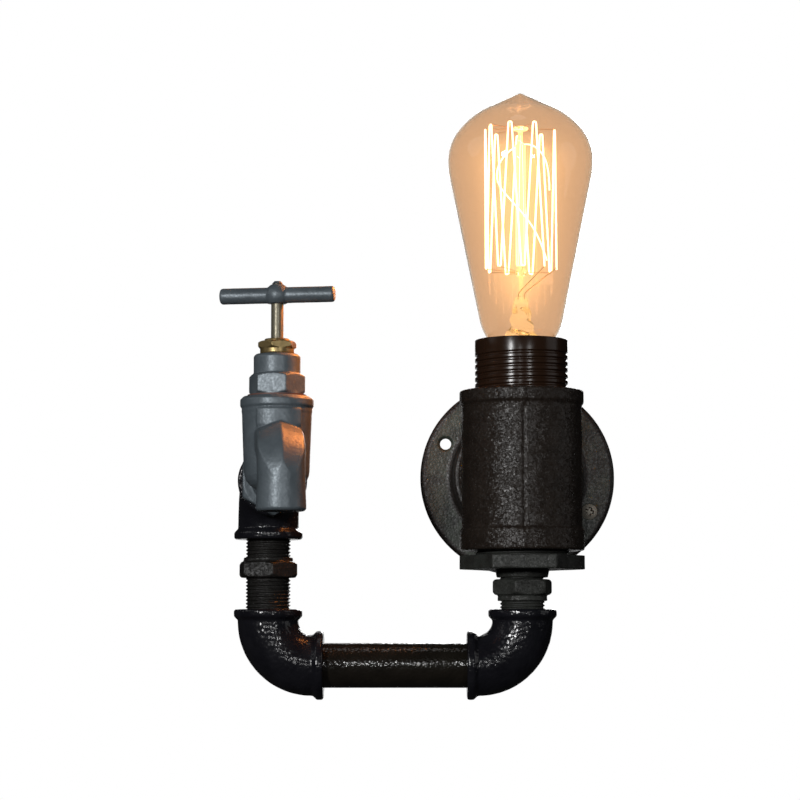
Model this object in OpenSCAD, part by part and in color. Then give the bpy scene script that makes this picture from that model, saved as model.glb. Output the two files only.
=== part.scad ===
// Pipe wall light: a lampholder in an upright pipe tee on a round wall flange. A run of
// pipe fittings under the tee turns sideways, then up, and ends in a screw-down bib tap.
// The wall is the plane y = 0, the light stands out toward -Y and Z is up. The origin is
// the centre of the flange's back face.

/* [Wall flange] */
// Outside diameter of the flange plate
flange_d = 104; // [100:1:120]
// Thickness of the plate
flange_plate_h = 5; // [4:0.5:7]
// Diameter of the hub in front of the plate
flange_hub_d = 70; // [64:1:72]
// Height of the hub's front face above the wall
flange_h = 18; // [14:0.5:24]
// Pitch circle of the mounting holes
bolt_circle_d = 85; // [84:0.5:86]
// Diameter of the mounting holes
bolt_hole_d = 6; // [4:0.5:6.5]
// Diameter of the countersinks at the plate's face
bolt_sink_d = 8.5; // [7:0.5:9]
// Number of mounting holes
bolt_count = 4; // [3:1:6]
// Turn of the first hole below the sideways axis
bolt_turn = 25.4; // [0:0.1:45]

/* [Tee] */
// Major diameter of the large pipe thread: flange, tee, sleeve and bush
big_thread_d = 47.9; // [46:0.1:49]
// Outside diameter of the tee's run
tee_d = 61.8; // [60:0.2:63]
// Outside diameter of the tee's branch
tee_branch_d = 60; // [58:0.2:61]
// Diameter of the flat collars round its three mouths
tee_collar_d = 63.9; // [63.4:0.1:66]
// Height of the collars at the top and on the branch
tee_collar_h = 7; // [4:0.5:10]
// Height of the collar at the bottom
tee_low_collar_h = 11; // [6:0.5:13]
// Centre to each end of the run
tee_half_run = 41; // [38:0.5:48]
// Centre to the branch's face
tee_branch = 41; // [38:0.5:48]
// Depth of the threaded part of each mouth
tee_thread_h = 16; // [12:0.5:18]
// Diameter of the chamber between the threads
tee_chamber_d = 50; // [49.5:0.1:52]
// Width of the mould seam
seam_w = 1.4; // [0.8:0.1:2]
// Height of the mould seam above the casting
seam_h = 0.4; // [0.2:0.1:0.6]

/* [Stand-off] */
// Thread left showing between the hub and the tee
standoff_gap = 2; // [1:0.5:6]
// Bore of the close nipple behind the tee
close_nipple_bore_d = 40; // [38:0.5:42]
// Set-back of the nipple's rear end from the wall
close_nipple_back = 3; // [1:0.5:5]

/* [Lampholder] */
// Height of the sleeve above the tee
sleeve_rise = 26.3; // [22:0.1:34]
// Height of the smooth band at the sleeve's mouth
sleeve_band_h = 6; // [3:0.5:8]
// Pitch of the sleeve's outer thread
sleeve_pitch = 3.26; // [2.5:0.02:4]
// Depth of the sleeve's outer thread
sleeve_thread_t = 0.8; // [0.5:0.05:1]
// Bore of the sleeve's mouth, round the bulb's neck
sleeve_mouth_d = 41; // [40:0.1:41.6]
// Bore of the sleeve's lower part, round the insert
sleeve_bore_d = 42; // [41.8:0.1:42.6]
// Length of the sleeve inside the tee
sleeve_sunk = 19; // [17:0.5:21]
// Height of the ceramic insert
insert_h = 31; // [28:0.5:32]
// Height of the insert's floor
insert_floor_h = 8; // [6:0.5:10]
// Diameter of the well for the screw shell
insert_well_d = 30.4; // [30.4:0.1:32]
// Height of the retaining ring
ring_h = 4; // [2.5:0.5:4.5]
// Bore of the retaining ring
ring_bore_d = 30; // [27:0.5:33]
// Sideways distance of each terminal from the axis
terminal_x = 6.5; // [6:0.1:7]

/* [Bulb] */
// Largest radius of the glass
bulb_r = 37.6; // [36:0.1:40]
// Height of the widest place above the sleeve's mouth
bulb_wide_z = 94.2; // [90:0.2:100]
// Height of the dome above the widest place
bulb_dome_h = 31.1; // [29:0.1:33]
// Radius of the shoulder between side and dome
bulb_shoulder_r = 25; // [23:0.5:27]
// Radius of the side's curve below the widest place
bulb_side_r = 50; // [40:1:70]
// Lean of the straight side from the upright, in degrees
bulb_side_lean = 11.6; // [11:0.1:12]
// Height above the sleeve's mouth at which the side turns in to the neck
bulb_neck_z = 6; // [4:0.2:8]
// Slope of the pointed top of the dome, in degrees
bulb_tip_slope = 26; // [20:0.5:28]
// Radius of the tip's rounded end
bulb_tip_r = 3.4; // [2:0.2:5]
// Wall thickness of the glass
glass_t = 0.9; // [0.6:0.05:1.2]
// Crest diameter of the screw cap
cap_d = 26.4; // [26:0.05:26.6]
// Pitch of the cap's rolled thread
cap_pitch = 3.62; // [3.2:0.02:4]
// Radius of the filament cage
cage_r = 18.4; // [14:0.2:20]
// Number of upper hairpins in the filament
hairpins = 8; // [5:1:10]

/* [Pipe run] */
// Outside diameter of the small pipe and its threads
pipe_d = 22.8; // [21:0.1:23.4]
// Wall thickness of the small pipe
pipe_wall = 2.6; // [2:0.1:3.5]
// Distance between the two upright axes
riser_spacing = 130; // [110:1:180]
// Centre to face of an elbow
elbow_len = 28.5; // [27:0.5:34]
// Centreline radius of an elbow's bend
elbow_bend_r = 22.5; // [18:0.5:23]
// Outside diameter of an elbow
elbow_d = 31; // [30:0.2:33]
// Diameter of the rim round an elbow's mouth
elbow_rim_d = 35; // [34.6:0.2:38]
// Height of the rim
elbow_rim_h = 5.2; // [4:0.2:7]
// Depth of an elbow's threaded sockets
socket_h = 13; // [12.5:0.5:15]
// Length of thread screwed into a socket
thread_reach = 12; // [9:0.5:12.4]
// Thread left showing between the tee and the bush's hexagon
bush_show = 2.4; // [0.4:0.2:4]
// Height of the bush's hexagon
bush_hex_h = 7.2; // [6:0.2:12]
// Bush hexagon across its corners
bush_hex_d = 64.4; // [62:0.2:68]
// Height of the round boss under the bush
bush_boss_h = 4.1; // [3:0.1:8]
// Diameter of that boss
bush_boss_d = 27.8; // [27:0.2:32]
// Height of a nipple's hexagon
nipple_hex_h = 8; // [6:0.5:12]
// Nipple hexagon across its corners
nipple_hex_d = 32; // [31:0.2:35]
// Thread showing above the right nipple's hexagon
right_top_show = 0.9; // [0.5:0.1:3]
// Thread showing below the right nipple's hexagon
right_low_show = 7.3; // [4:0.1:12]
// Thread showing above the left nipple's hexagon
left_top_show = 11.5; // [4:0.1:14]
// Thread showing below the left nipple's hexagon
left_low_show = 16.1; // [6:0.1:20]

/* [Tap] */
// Turn of the tap and its elbow toward the lamp, in degrees
tap_yaw = 7.4; // [0:0.1:20]
// Distance from the riser's axis to the spindle's axis
tap_reach = 54; // [52:0.5:58]
// Distance from the spindle's axis to the spout's axis
spout_reach = 29; // [27:0.5:36]
// Outside diameter of the spout
spout_d = 23.4; // [22:0.2:24]
// Bore of the spout
spout_bore_d = 15; // [12:0.5:16]
// Centreline radius of the spout's bend
spout_bend_r = 17; // [15:0.5:19]
// Height of the spout's level part above the inlet axis
spout_rise = 14.6; // [14:0.2:15]
// Height of the ridge on top of the spout's bend above a round one
spout_ridge_h = 1; // [0.4:0.1:2]
// Slope of the bend's top on each side of the ridge, in degrees
spout_ridge_slope = 22; // [12:1:26]
// Depth of the spout's mouth below the inlet axis
spout_drop = 18; // [14:0.5:24]
// Diameter of the barrel under the ring
barrel_d = 34.5; // [34:0.1:36]
// Diameter of the barrel near its rounded bottom
barrel_low_d = 32.5; // [31:0.1:33.5]
// Depth of the barrel's bottom below the inlet axis
barrel_sunk = 6.7; // [6.2:0.1:8]
// Radius of the barrel's rounded bottom edge
barrel_round_r = 10; // [6:0.5:11]
// Height of the ring's lower edge above the inlet axis
tap_ring_z = 32.3; // [30:0.2:36]
// Height of the ring
tap_ring_h = 7.6; // [6:0.2:10]
// Diameter of the ring
tap_ring_d = 36.3; // [36.2:0.1:39]
// Thread diameter of the bonnet
bonnet_thread_d = 25; // [24:0.2:26]
// Length of the bonnet's thread
bonnet_thread_h = 16; // [12:0.5:17]
// Bonnet hexagon across its corners
bonnet_hex_d = 28.5; // [28.4:0.1:31]
// Height of the bonnet's hexagon
bonnet_hex_h = 10; // [8:0.5:13]
// Diameter of the bonnet's round top
bonnet_top_d = 23.2; // [21:0.2:24]
// Height of the bonnet's round top
bonnet_top_h = 10.1; // [9.5:0.1:12]
// Gland nut hexagon across its corners
gland_hex_d = 19.6; // [18:0.2:21]
// Diameter of the visible spindle
spindle_d = 6.2; // [5.6:0.1:7]
// Diameter of the spindle's lifting thread
spindle_thread_d = 12; // [11:0.1:12.4]
// Height of the handle bar's axis above the inlet axis
handle_z = 90.5; // [86:0.5:100]
// Length of the handle bar
handle_len = 58; // [50:1:70]
// Diameter of the handle bar
handle_d = 8; // [7:0.1:9]
// Turn of the handle bar from the sideways axis, in degrees
handle_turn = -17.4; // [-60:0.1:60]

/* [Hidden] */
$fn = 96;

// Radial clearance of a thread in its bore, and of a shaft in its bearing
thread_gap = 0.05;
// Clearance between faces that are screwed or laid together
seat_gap = 0.1;
// Clearance between pieces of two bodies that come to rest on each other
rest_gap = 0.3;
// Overrun of every cut
cut = 1;
// Steps in a quarter of a rounded outline
arc_steps = 6;
// Bevel on thread ends and turned edges
bevel = 0.8;
// Places along one pitch of the sleeve's thread where its flanks start and end
crest_low_share = 0.06;
root_low_share = 0.16;
root_top_share = 0.52;
crest_top_share = 0.74;
// Turns of the hexagons about their upright axes
right_nipple_turn = 15.5;
left_nipple_turn = -18.7;
bonnet_turn = -16.4;
gland_turn = 10;

// Where the upright axes, the cross pipe and the tap lie
axis_y = -(flange_h + standoff_gap + tee_branch);
bush_low_z = -tee_half_run - bush_show - bush_hex_h - bush_boss_h;
right_hex_z = bush_low_z - right_top_show - nipple_hex_h;
cross_z = right_hex_z - right_low_show - elbow_len;
left_hex_z = cross_z + elbow_len + left_low_show;
tap_z = left_hex_z + nipple_hex_h + left_top_show + elbow_len;

// Flange: rounded outer edge, fillet at the hub, taper of the hub and width of its lip
flange_edge_r = 2.6;
flange_fillet_r = 3;
flange_hub_taper = 1;

// Tee: rounding of the collars, and the pad for the earth screw inside its front wall
collar_round = 0.8;
earth_pad_d = 10;
earth_pad_h = 2.5;
earth_rise = 9;

// Lampholder: heights are worked down from the sleeve's mouth
mouth_z = tee_half_run + sleeve_rise;
shoulder_h = 2;
sleeve_low_z = tee_half_run - sleeve_sunk;
insert_low_z = sleeve_low_z + ring_h + seat_gap;
insert_top_z = insert_low_z + insert_h;
shoulder_bore_d = 34;
well_z = insert_low_z + insert_floor_h;
insert_d = sleeve_bore_d - 2 * seat_gap;
ring_d = sleeve_bore_d - 2 * thread_gap;
ridges = floor((sleeve_rise - sleeve_band_h) / sleeve_pitch);

// Contacts and their terminal pillars
strip_t = 0.6;
strip_w = 5;
pillar_w = 5;
pillar_h = 9;
lead_core_d = 1.8;
lead_d = 2.8;
core_reach = 6;
small_screw_d = 2.5;
small_head_d = 4.2;
small_head_h = 1.5;
lead_bend_r = 10;

// Terminal block, laid on the bottom of the close nipple's bore
block_l = 15;
block_base_h = 8;
block_tower_h = 4;
block_tower_d = 5;
block_w = 2 * terminal_x + block_tower_d + 2 * bevel;
block_set_back = 5;
block_back_y = -close_nipple_back - block_set_back;
block_front_y = block_back_y - block_l;
bore_drop = sqrt(pow(close_nipple_bore_d / 2, 2) - pow(block_w / 2, 2));
block_low_z = -bore_drop + rest_gap;
lead_z = block_low_z + block_base_h / 2;
clamp_d = 4.4;
clamp_bore_d = 2.6;
clamp_inset = 1;

// Earth connection inside the tee's front wall
earth_z = lead_z + earth_rise;
earth_face_y = axis_y - tee_chamber_d / 2 + earth_pad_h;
earth_screw_d = 4;
earth_head_d = 7;
earth_head_h = 2.4;
lug_t = 0.8;
lug_d = 8;
lug_barrel_d = 4;
lug_barrel_l = 7;

// Bulb cap, below the neck
cap_wall = 0.4;
cap_rim_sunk = 5.4;
cap_rim_z = mouth_z - cap_rim_sunk;
cap_rim_h = 3;
cap_thread_turns = 4;
cap_low_z = cap_rim_z - cap_rim_h - cap_thread_turns * cap_pitch;
insulator_h = 3.4;
contact_h = 1.2;
contact_d = 9.4;
tip_z = cap_low_z - insulator_h - contact_h;
neck_in_cap = 4;
shell_top_z = insert_top_z - seat_gap;
shell_play = 0.4;
shell_wave = 0.45;

// Points of an arc about [x, y]
function arc(x, y, r, from, to, steps = arc_steps) =
  [for (i = [0:steps]) let (a = from + (to - from) * i / steps) [x + r * cos(a), y + r * sin(a)]];

// Wave of a rolled thread: radius at a height, and the points of one wavy side
function wave(mean_r, depth, pitch, z) = mean_r + depth * cos(360 * z / pitch);
function wave_side(mean_r, depth, pitch, z0, turns, steps = 8) =
  [for (i = [0:steps * turns]) let (z = i * pitch / steps) [wave(mean_r, depth, pitch, z), z0 + z]];

module tube(outer_d, inner_d, h) {
  difference() {
    cylinder(d = outer_d, h = h);
    translate([0, 0, -cut]) cylinder(d = inner_d, h = h + 2 * cut);
  }
}

// Turned bar whose ends are bevelled
module bevelled_bar(d, h, b = bevel) {
  rotate_extrude()
    polygon([[0, 0], [d / 2 - b, 0], [d / 2, b], [d / 2, h - b], [d / 2 - b, h], [0, h]]);
}

// Hexagon with its corners bevelled at both ends
module hex_block(corner_d, h) {
  flat_share = 0.866;
  over_share = 1.1;
  end_r = corner_d / 2 * flat_share;
  wide_r = corner_d / 2 * over_share;
  drop = (wide_r - end_r) * tan(30);
  intersection() {
    cylinder(d = corner_d, h = h, $fn = 6);
    rotate_extrude()
      polygon([[0, 0], [end_r, 0], [wide_r, drop], [wide_r, h - drop], [end_r, h], [0, h]]);
  }
}

// Turns a piece's Z axis toward the wall or toward the room
module to_wall() rotate([-90, 0, 0]) children();
module to_room() rotate([90, 0, 0]) children();

// Puts a piece on the lamp's upright axis, on the left riser or in the tap's own frame,
// where -Y points along the tap and the inlet axis is at height 0
module on_axis(z = 0) translate([0, axis_y, z]) children();
module on_riser(z = 0) translate([-riser_spacing, axis_y, z]) children();
module at_tap() translate([-riser_spacing, axis_y, tap_z]) rotate([0, 0, tap_yaw]) children();
module at_spindle() at_tap() translate([0, -tap_reach, 0]) children();

module wall_flange() {
  hub_r = flange_hub_d / 2;
  rim_r = flange_d / 2;
  color([0.23, 0.23, 0.24]) to_room() difference() {
    rotate_extrude() polygon(concat(
      [[0, 0], [rim_r - bevel / 2, 0], [rim_r, bevel / 2]],
      arc(rim_r - flange_edge_r, flange_plate_h - flange_edge_r, flange_edge_r, 0, 90),
      arc(hub_r + flange_fillet_r, flange_plate_h + flange_fillet_r, flange_fillet_r, 270, 180),
      [[hub_r - flange_hub_taper, flange_h - bevel],
       [hub_r - flange_hub_taper - bevel, flange_h], [0, flange_h]]));
    translate([0, 0, -cut]) cylinder(d = big_thread_d + 2 * thread_gap, h = flange_h + 2 * cut);
    for (i = [0:bolt_count - 1])
      rotate(i * 360 / bolt_count - bolt_turn) translate([bolt_circle_d / 2, 0, 0]) {
        sink_h = (bolt_sink_d - bolt_hole_d) / 2;
        translate([0, 0, -cut]) cylinder(d = bolt_hole_d, h = flange_plate_h + 2 * cut);
        translate([0, 0, flange_plate_h - sink_h])
          cylinder(d1 = bolt_hole_d, d2 = bolt_sink_d + 2 * cut, h = sink_h + cut);
      }
  }
}

module close_nipple() {
  front = flange_h + standoff_gap + tee_thread_h - seat_gap;
  color([0.2, 0.2, 0.21]) to_room() translate([0, 0, close_nipple_back]) difference() {
    bevelled_bar(big_thread_d, front - close_nipple_back);
    translate([0, 0, -cut]) cylinder(d = close_nipple_bore_d, h = front + cut);
  }
}

// Outside of the tee, with every radius larger by swell
module tee_outside(swell = 0) {
  c = collar_round;
  r = tee_collar_d / 2 + swell;
  on_axis() {
    rotate_extrude() polygon(concat(
      [[0, -tee_half_run]],
      arc(r - c, -tee_half_run + c, c, 270, 360),
      arc(r - c, -tee_half_run + tee_low_collar_h - c, c, 0, 60),
      [[tee_d / 2 + swell, -tee_half_run + tee_low_collar_h],
       [tee_d / 2 + swell, tee_half_run - tee_collar_h]],
      arc(r - c, tee_half_run - tee_collar_h + c, c, 300, 360),
      arc(r - c, tee_half_run - c, c, 0, 90),
      [[0, tee_half_run]]));
    to_wall() rotate_extrude() polygon(concat(
      [[0, 0], [tee_branch_d / 2 + swell, 0], [tee_branch_d / 2 + swell, tee_branch - tee_collar_h]],
      arc(r - c, tee_branch - tee_collar_h + c, c, 300, 360),
      arc(r - c, tee_branch - c, c, 0, 90),
      [[0, tee_branch]]));
  }
}

module tee() {
  bore_d = big_thread_d + 2 * thread_gap;
  chamber_h = 2 * (tee_half_run - tee_thread_h);
  slab = 4 * tee_half_run;
  color([0.14, 0.14, 0.15]) difference() {
    union() {
      difference() {
        union() {
          tee_outside();
          intersection() {
            tee_outside(seam_h);
            on_axis() cube([seam_w, slab, slab], center = true);
          }
        }
        on_axis(-chamber_h / 2) cylinder(d = tee_chamber_d, h = chamber_h);
        on_axis(-tee_half_run - cut) cylinder(d = bore_d, h = 2 * (tee_half_run + cut));
        on_axis() to_wall() cylinder(d = bore_d, h = tee_branch + cut);
      }
      translate([0, earth_face_y, earth_z]) to_room()
        cylinder(d = earth_pad_d, h = earth_pad_h + (tee_d - tee_chamber_d) / 4);
    }
    translate([0, earth_face_y + cut, earth_z]) to_room()
      cylinder(d = earth_screw_d + 2 * thread_gap, h = cut + earth_pad_h + seam_w);
  }
}

module socket_sleeve() {
  crest_r = big_thread_d / 2;
  root_r = crest_r - sleeve_thread_t;
  shoulder_z = insert_top_z + seat_gap;
  first_z = mouth_z - sleeve_band_h;
  color([0.05, 0.05, 0.05]) on_axis() rotate_extrude() polygon(concat(
    [[sleeve_bore_d / 2, sleeve_low_z], [crest_r - bevel, sleeve_low_z],
     [crest_r, sleeve_low_z + bevel]],
    [for (i = [ridges - 1:-1:0]) let (z = first_z - (i + 1) * sleeve_pitch) each [
      [crest_r, z - sleeve_pitch * crest_low_share], [root_r, z + sleeve_pitch * root_low_share],
      [root_r, z + sleeve_pitch * root_top_share],
      [crest_r, z + sleeve_pitch * crest_top_share]]],
    [[crest_r, first_z], [crest_r, mouth_z - bevel], [crest_r - bevel, mouth_z],
     [sleeve_mouth_d / 2 + bevel, mouth_z], [sleeve_mouth_d / 2, mouth_z - bevel],
     [sleeve_mouth_d / 2, shoulder_z + shoulder_h], [shoulder_bore_d / 2, shoulder_z + shoulder_h],
     [shoulder_bore_d / 2, shoulder_z], [sleeve_bore_d / 2, shoulder_z]]));
}

module holder_insert() {
  slot = strip_t + 2 * seat_gap;
  color([0.93, 0.92, 0.88]) on_axis(insert_low_z) difference() {
    bevelled_bar(insert_d, insert_h);
    translate([0, 0, insert_floor_h]) cylinder(d = insert_well_d, h = insert_h);
    for (side = [-1, 1])
      translate([side * terminal_x, 0, insert_floor_h / 2])
        cube([slot, strip_w + 2 * seat_gap, insert_floor_h + 2 * cut], center = true);
  }
}

module holder_ring() {
  color([0.72, 0.6, 0.32]) on_axis(sleeve_low_z) difference() {
    bevelled_bar(ring_d, ring_h, bevel / 2);
    translate([0, 0, -cut]) cylinder(d = ring_bore_d, h = ring_h + 2 * cut);
  }
}

module screw_shell() {
  turns = 4;
  crest_r = cap_d / 2 + shell_play + shell_wave;
  low_z = shell_top_z - turns * cap_pitch;
  color([0.75, 0.72, 0.6]) on_axis() rotate_extrude() polygon(concat(
    [[crest_r, well_z + strip_t + 2 * seat_gap]],
    wave_side(crest_r, shell_wave, cap_pitch, low_z, turns),
    [for (i = [8 * turns:-1:0]) let (z = i * cap_pitch / 8)
      [wave(crest_r + cap_wall, shell_wave, cap_pitch, z), low_z + z]],
    [[crest_r + cap_wall, well_z + strip_t + 2 * seat_gap]]));
}

// Terminal pillar under the insert, on the side of the given sign
module pillar(side) {
  translate([side * terminal_x, 0, insert_low_z - seat_gap - pillar_h]) difference() {
    translate([-pillar_w / 2, -strip_w / 2, 0]) cube([pillar_w, strip_w, pillar_h]);
    translate([0, 0, -cut]) cylinder(d = lead_core_d + 2 * thread_gap, h = core_reach + cut);
    translate([0, 0, core_reach / 2]) to_room()
      cylinder(d = small_screw_d + 2 * thread_gap, h = strip_w);
  }
}

// Strip from a pillar up through the insert's floor
module riser_strip(side, top_z) {
  low_z = insert_low_z - seat_gap - bevel;
  translate([side * terminal_x - strip_t / 2, -strip_w / 2, low_z])
    cube([strip_t, strip_w, top_z - low_z]);
}

module centre_contact() {
  floor_z = well_z + seat_gap;
  spring_z = tip_z - rest_gap - strip_t;
  run_x = terminal_x / 2;
  color([0.8, 0.62, 0.3]) on_axis() {
    pillar(-1);
    riser_strip(-1, floor_z + strip_t);
    translate([0, strip_w / 2, 0]) to_room() linear_extrude(strip_w) polygon([
      [-terminal_x - strip_t / 2, floor_z], [-run_x, floor_z], [-strip_t, spring_z],
      [run_x, spring_z], [run_x + strip_t, spring_z - strip_t], [run_x + strip_t, spring_z],
      [run_x, spring_z + strip_t], [-2 * strip_t, spring_z + strip_t],
      [-run_x - strip_t / 2, floor_z + strip_t], [-terminal_x - strip_t / 2, floor_z + strip_t]]);
  }
}

module side_contact() {
  tab_x = cap_d / 2 + shell_play + shell_wave + cap_wall;
  color([0.8, 0.62, 0.3]) on_axis() {
    pillar(1);
    riser_strip(1, well_z + seat_gap + strip_t);
    translate([terminal_x - strip_t / 2, -strip_w / 2, well_z + seat_gap])
      cube([tab_x - terminal_x, strip_w, strip_t]);
  }
}

module holder_screws() {
  z = insert_low_z - seat_gap - pillar_h + core_reach / 2;
  color([0.75, 0.66, 0.42]) for (side = [-1, 1])
    translate([side * terminal_x, axis_y, z]) to_room() {
      translate([0, 0, lead_core_d / 2 + seat_gap])
        cylinder(d = small_screw_d, h = strip_w / 2 - lead_core_d / 2);
      translate([0, 0, strip_w / 2 + seat_gap])
        cylinder(d = small_head_d, h = small_head_h);
    }
}

// Lead from a pillar down and back to the terminal block
module lead(side) {
  pillar_z = insert_low_z - seat_gap - pillar_h;
  top_z = pillar_z - seat_gap;
  bend_z = lead_z + lead_bend_r;
  bend_y = axis_y + lead_bend_r;
  end_y = block_front_y - seat_gap;
  translate([side * terminal_x, 0, 0]) {
    translate([0, axis_y, bend_z]) cylinder(d = lead_d, h = top_z - bend_z);
    translate([0, axis_y, top_z - bevel])
      cylinder(d = lead_core_d, h = core_reach - seat_gap + bevel);
    translate([0, bend_y, bend_z]) rotate([0, -90, 0]) rotate(180)
      rotate_extrude(angle = 90) translate([lead_bend_r, 0]) circle(d = lead_d);
    translate([0, bend_y, lead_z]) to_wall() cylinder(d = lead_d, h = end_y - bend_y);
    translate([0, end_y - bevel, lead_z]) to_wall()
      cylinder(d = lead_core_d, h = core_reach + bevel);
  }
}

module live_lead() color([0.36, 0.2, 0.12]) lead(-1);
module neutral_lead() color([0.1, 0.25, 0.6]) lead(1);

module earth_lead() {
  start_y = earth_face_y + lug_t + lug_barrel_l + 2 * seat_gap;
  end_y = block_front_y - seat_gap;
  color([0.35, 0.6, 0.2]) {
    translate([0, start_y, lead_z]) to_wall() cylinder(d = lead_d, h = end_y - start_y);
    translate([0, start_y - core_reach, lead_z]) to_wall()
      cylinder(d = lead_core_d, h = end_y - start_y + 2 * core_reach);
  }
}

module earth_lug() {
  color([0.78, 0.78, 0.76]) translate([0, earth_face_y + seat_gap, 0]) difference() {
    union() {
      translate([0, 0, earth_z]) to_wall() cylinder(d = lug_d, h = lug_t);
      translate([-lug_barrel_d / 2, 0, lead_z]) cube([lug_barrel_d, lug_t, earth_rise]);
      translate([0, 0, lead_z]) to_wall() cylinder(d = lug_barrel_d, h = lug_t + lug_barrel_l);
    }
    translate([0, -cut, earth_z]) to_wall()
      cylinder(d = earth_screw_d + 2 * seat_gap, h = lug_t + 2 * cut);
    translate([0, lug_t, lead_z]) to_wall()
      cylinder(d = lead_core_d + 2 * thread_gap, h = lug_barrel_l + cut);
  }
}

module earth_screw() {
  head_y = earth_face_y + lug_t + 2 * seat_gap;
  color([0.76, 0.68, 0.45]) translate([0, 0, earth_z]) {
    translate([0, head_y, 0]) to_wall() bevelled_bar(earth_head_d, earth_head_h, bevel / 2);
    translate([0, head_y + bevel, 0]) to_room()
      cylinder(d = earth_screw_d, h = bevel + lug_t + earth_pad_h);
  }
}

// One place for each pole of the terminal block, then for its two screws
module each_pole() for (pole = [-1:1]) translate([pole * terminal_x, 0, 0]) children();
module each_block_screw() each_pole() for (share = [0.25, 0.75])
  translate([0, block_front_y + share * block_l, 0]) children();

module terminal_block() {
  bore_d = clamp_d + 2 * thread_gap;
  color([0.9, 0.9, 0.86]) difference() {
    union() {
      translate([-block_w / 2, block_front_y, block_low_z]) cube([block_w, block_l, block_base_h]);
      each_block_screw() translate([0, 0, block_low_z + block_base_h - bevel])
        cylinder(d = block_tower_d, h = block_tower_h + bevel);
    }
    each_pole() translate([0, block_front_y - cut, lead_z]) to_wall()
      cylinder(d = bore_d, h = block_l + 2 * cut);
    each_block_screw() translate([0, 0, lead_z])
      cylinder(d = small_screw_d + 4 * seat_gap, h = block_base_h + block_tower_h);
  }
}

module block_clamps() {
  color([0.8, 0.68, 0.38]) difference() {
    each_pole() translate([0, block_front_y + clamp_inset, lead_z]) to_wall()
      tube(clamp_d, clamp_bore_d, block_l - 2 * clamp_inset);
    each_block_screw() translate([0, 0, lead_z])
      cylinder(d = small_screw_d + 2 * thread_gap, h = clamp_d);
  }
}

module block_screws() {
  low = lead_z + lead_core_d / 2 + seat_gap;
  color([0.8, 0.8, 0.78]) each_block_screw() translate([0, 0, low])
    cylinder(d = small_screw_d, h = block_base_h / 2 + block_tower_h / 2);
}

// Outline of the bulb's glass from the neck up, drawn inward by inset
function bulb_side(inset) =
  let (
    wide_z = mouth_z + bulb_wide_z,
    neck_z = mouth_z + bulb_neck_z,
    end_r = cap_d / 2 + glass_t / 2,
    s = bulb_side_r, a = bulb_side_lean,
    lean_z = wide_z - s * sin(a),
    lean_r = bulb_r - s * (1 - cos(a)),
    neck_r = lean_r - (lean_z - neck_z) * tan(a),
    k = bulb_shoulder_r,
    h = (pow(bulb_r - k, 2) - pow(bulb_dome_h - k, 2)) / (2 * (bulb_dome_h - k)),
    dome_r = bulb_dome_h + h,
    meet = atan2(h, bulb_r - k),
    tip_c = (dome_r - bulb_tip_r) / cos(bulb_tip_slope),
    tip_from = 90 - bulb_tip_slope,
    rise = atan2(neck_z - cap_rim_z, neck_r - end_r)
  )
  concat(
    [[end_r - inset * sin(rise), cap_rim_z + inset * cos(rise)],
     [neck_r - inset, neck_z]],
    arc(bulb_r - s, wide_z, s - inset, -a, 0),
    arc(bulb_r - k, wide_z, k - inset, 0, meet),
    arc(0, wide_z - h, dome_r - inset, meet, tip_from, 2 * arc_steps),
    [for (p = arc(0, wide_z - h + tip_c, bulb_tip_r - inset, tip_from, 90)) [max(0, p.x), p.y]]);

module bulb_glass() {
  neck_r = cap_d / 2 - 2 * cap_wall - 2 * seat_gap - shell_wave;
  color([0.86, 0.62, 0.42, 0.5]) on_axis() difference() {
    rotate_extrude() polygon(concat(
      [[0, cap_rim_z - neck_in_cap], [neck_r, cap_rim_z - neck_in_cap],
       [neck_r, cap_rim_z + seat_gap]],
      bulb_side(0)));
    rotate_extrude() polygon(concat(
      [[0, cap_rim_z - neck_in_cap - cut], [neck_r - glass_t, cap_rim_z - neck_in_cap - cut],
       [neck_r - glass_t, cap_rim_z]],
      bulb_side(glass_t)));
  }
}

module bulb_cap() {
  mean_r = cap_d / 2 - shell_wave;
  foot_r = contact_d / 2 + insulator_h;
  color([0.8, 0.74, 0.55]) on_axis() rotate_extrude() polygon(concat(
    [[foot_r, cap_low_z], [mean_r, cap_low_z]],
    wave_side(mean_r, shell_wave, cap_pitch, cap_low_z + seat_gap, cap_thread_turns),
    [[mean_r, cap_rim_z - cap_rim_h / 2], [mean_r + cap_wall, cap_rim_z],
     [mean_r - cap_wall, cap_rim_z]],
    [for (i = [8 * cap_thread_turns:-1:0]) let (z = i * cap_pitch / 8)
      [wave(mean_r - cap_wall, shell_wave, cap_pitch, z), cap_low_z + seat_gap + cap_wall + z]],
    [[foot_r, cap_low_z + cap_wall]]));
}

module cap_insulator() {
  top_r = contact_d / 2 + insulator_h - seat_gap;
  color([0.1, 0.1, 0.11]) on_axis(cap_low_z - insulator_h) {
    cylinder(r1 = contact_d / 2, r2 = top_r, h = insulator_h);
    translate([0, 0, insulator_h - bevel]) cylinder(r = top_r, h = bevel + 2 * cap_wall);
  }
}

module cap_contact() {
  tip_share = 0.6;
  foot_share = 0.9;
  color([0.72, 0.72, 0.7]) on_axis(tip_z)
    cylinder(d1 = contact_d * tip_share, d2 = contact_d * foot_share, h = contact_h - seat_gap);
}

// Stem: funnel sealed to the neck and drawn in to the press, then the rod with the bead
// and the button that carry the supports
stem_press_r = 3.7;
stem_rise = 22.6;
stem_press_z = mouth_z + stem_rise;
stem_rod_r = 1.5;
stem_button_r = 4.2;
stem_bead_r = 3;
cage_top_over = 16.8;
cage_low_rise = 37;
cage_top_z = mouth_z + bulb_wide_z + cage_top_over;
cage_low_z = mouth_z + cage_low_rise;
wire_d = 0.7;

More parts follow.
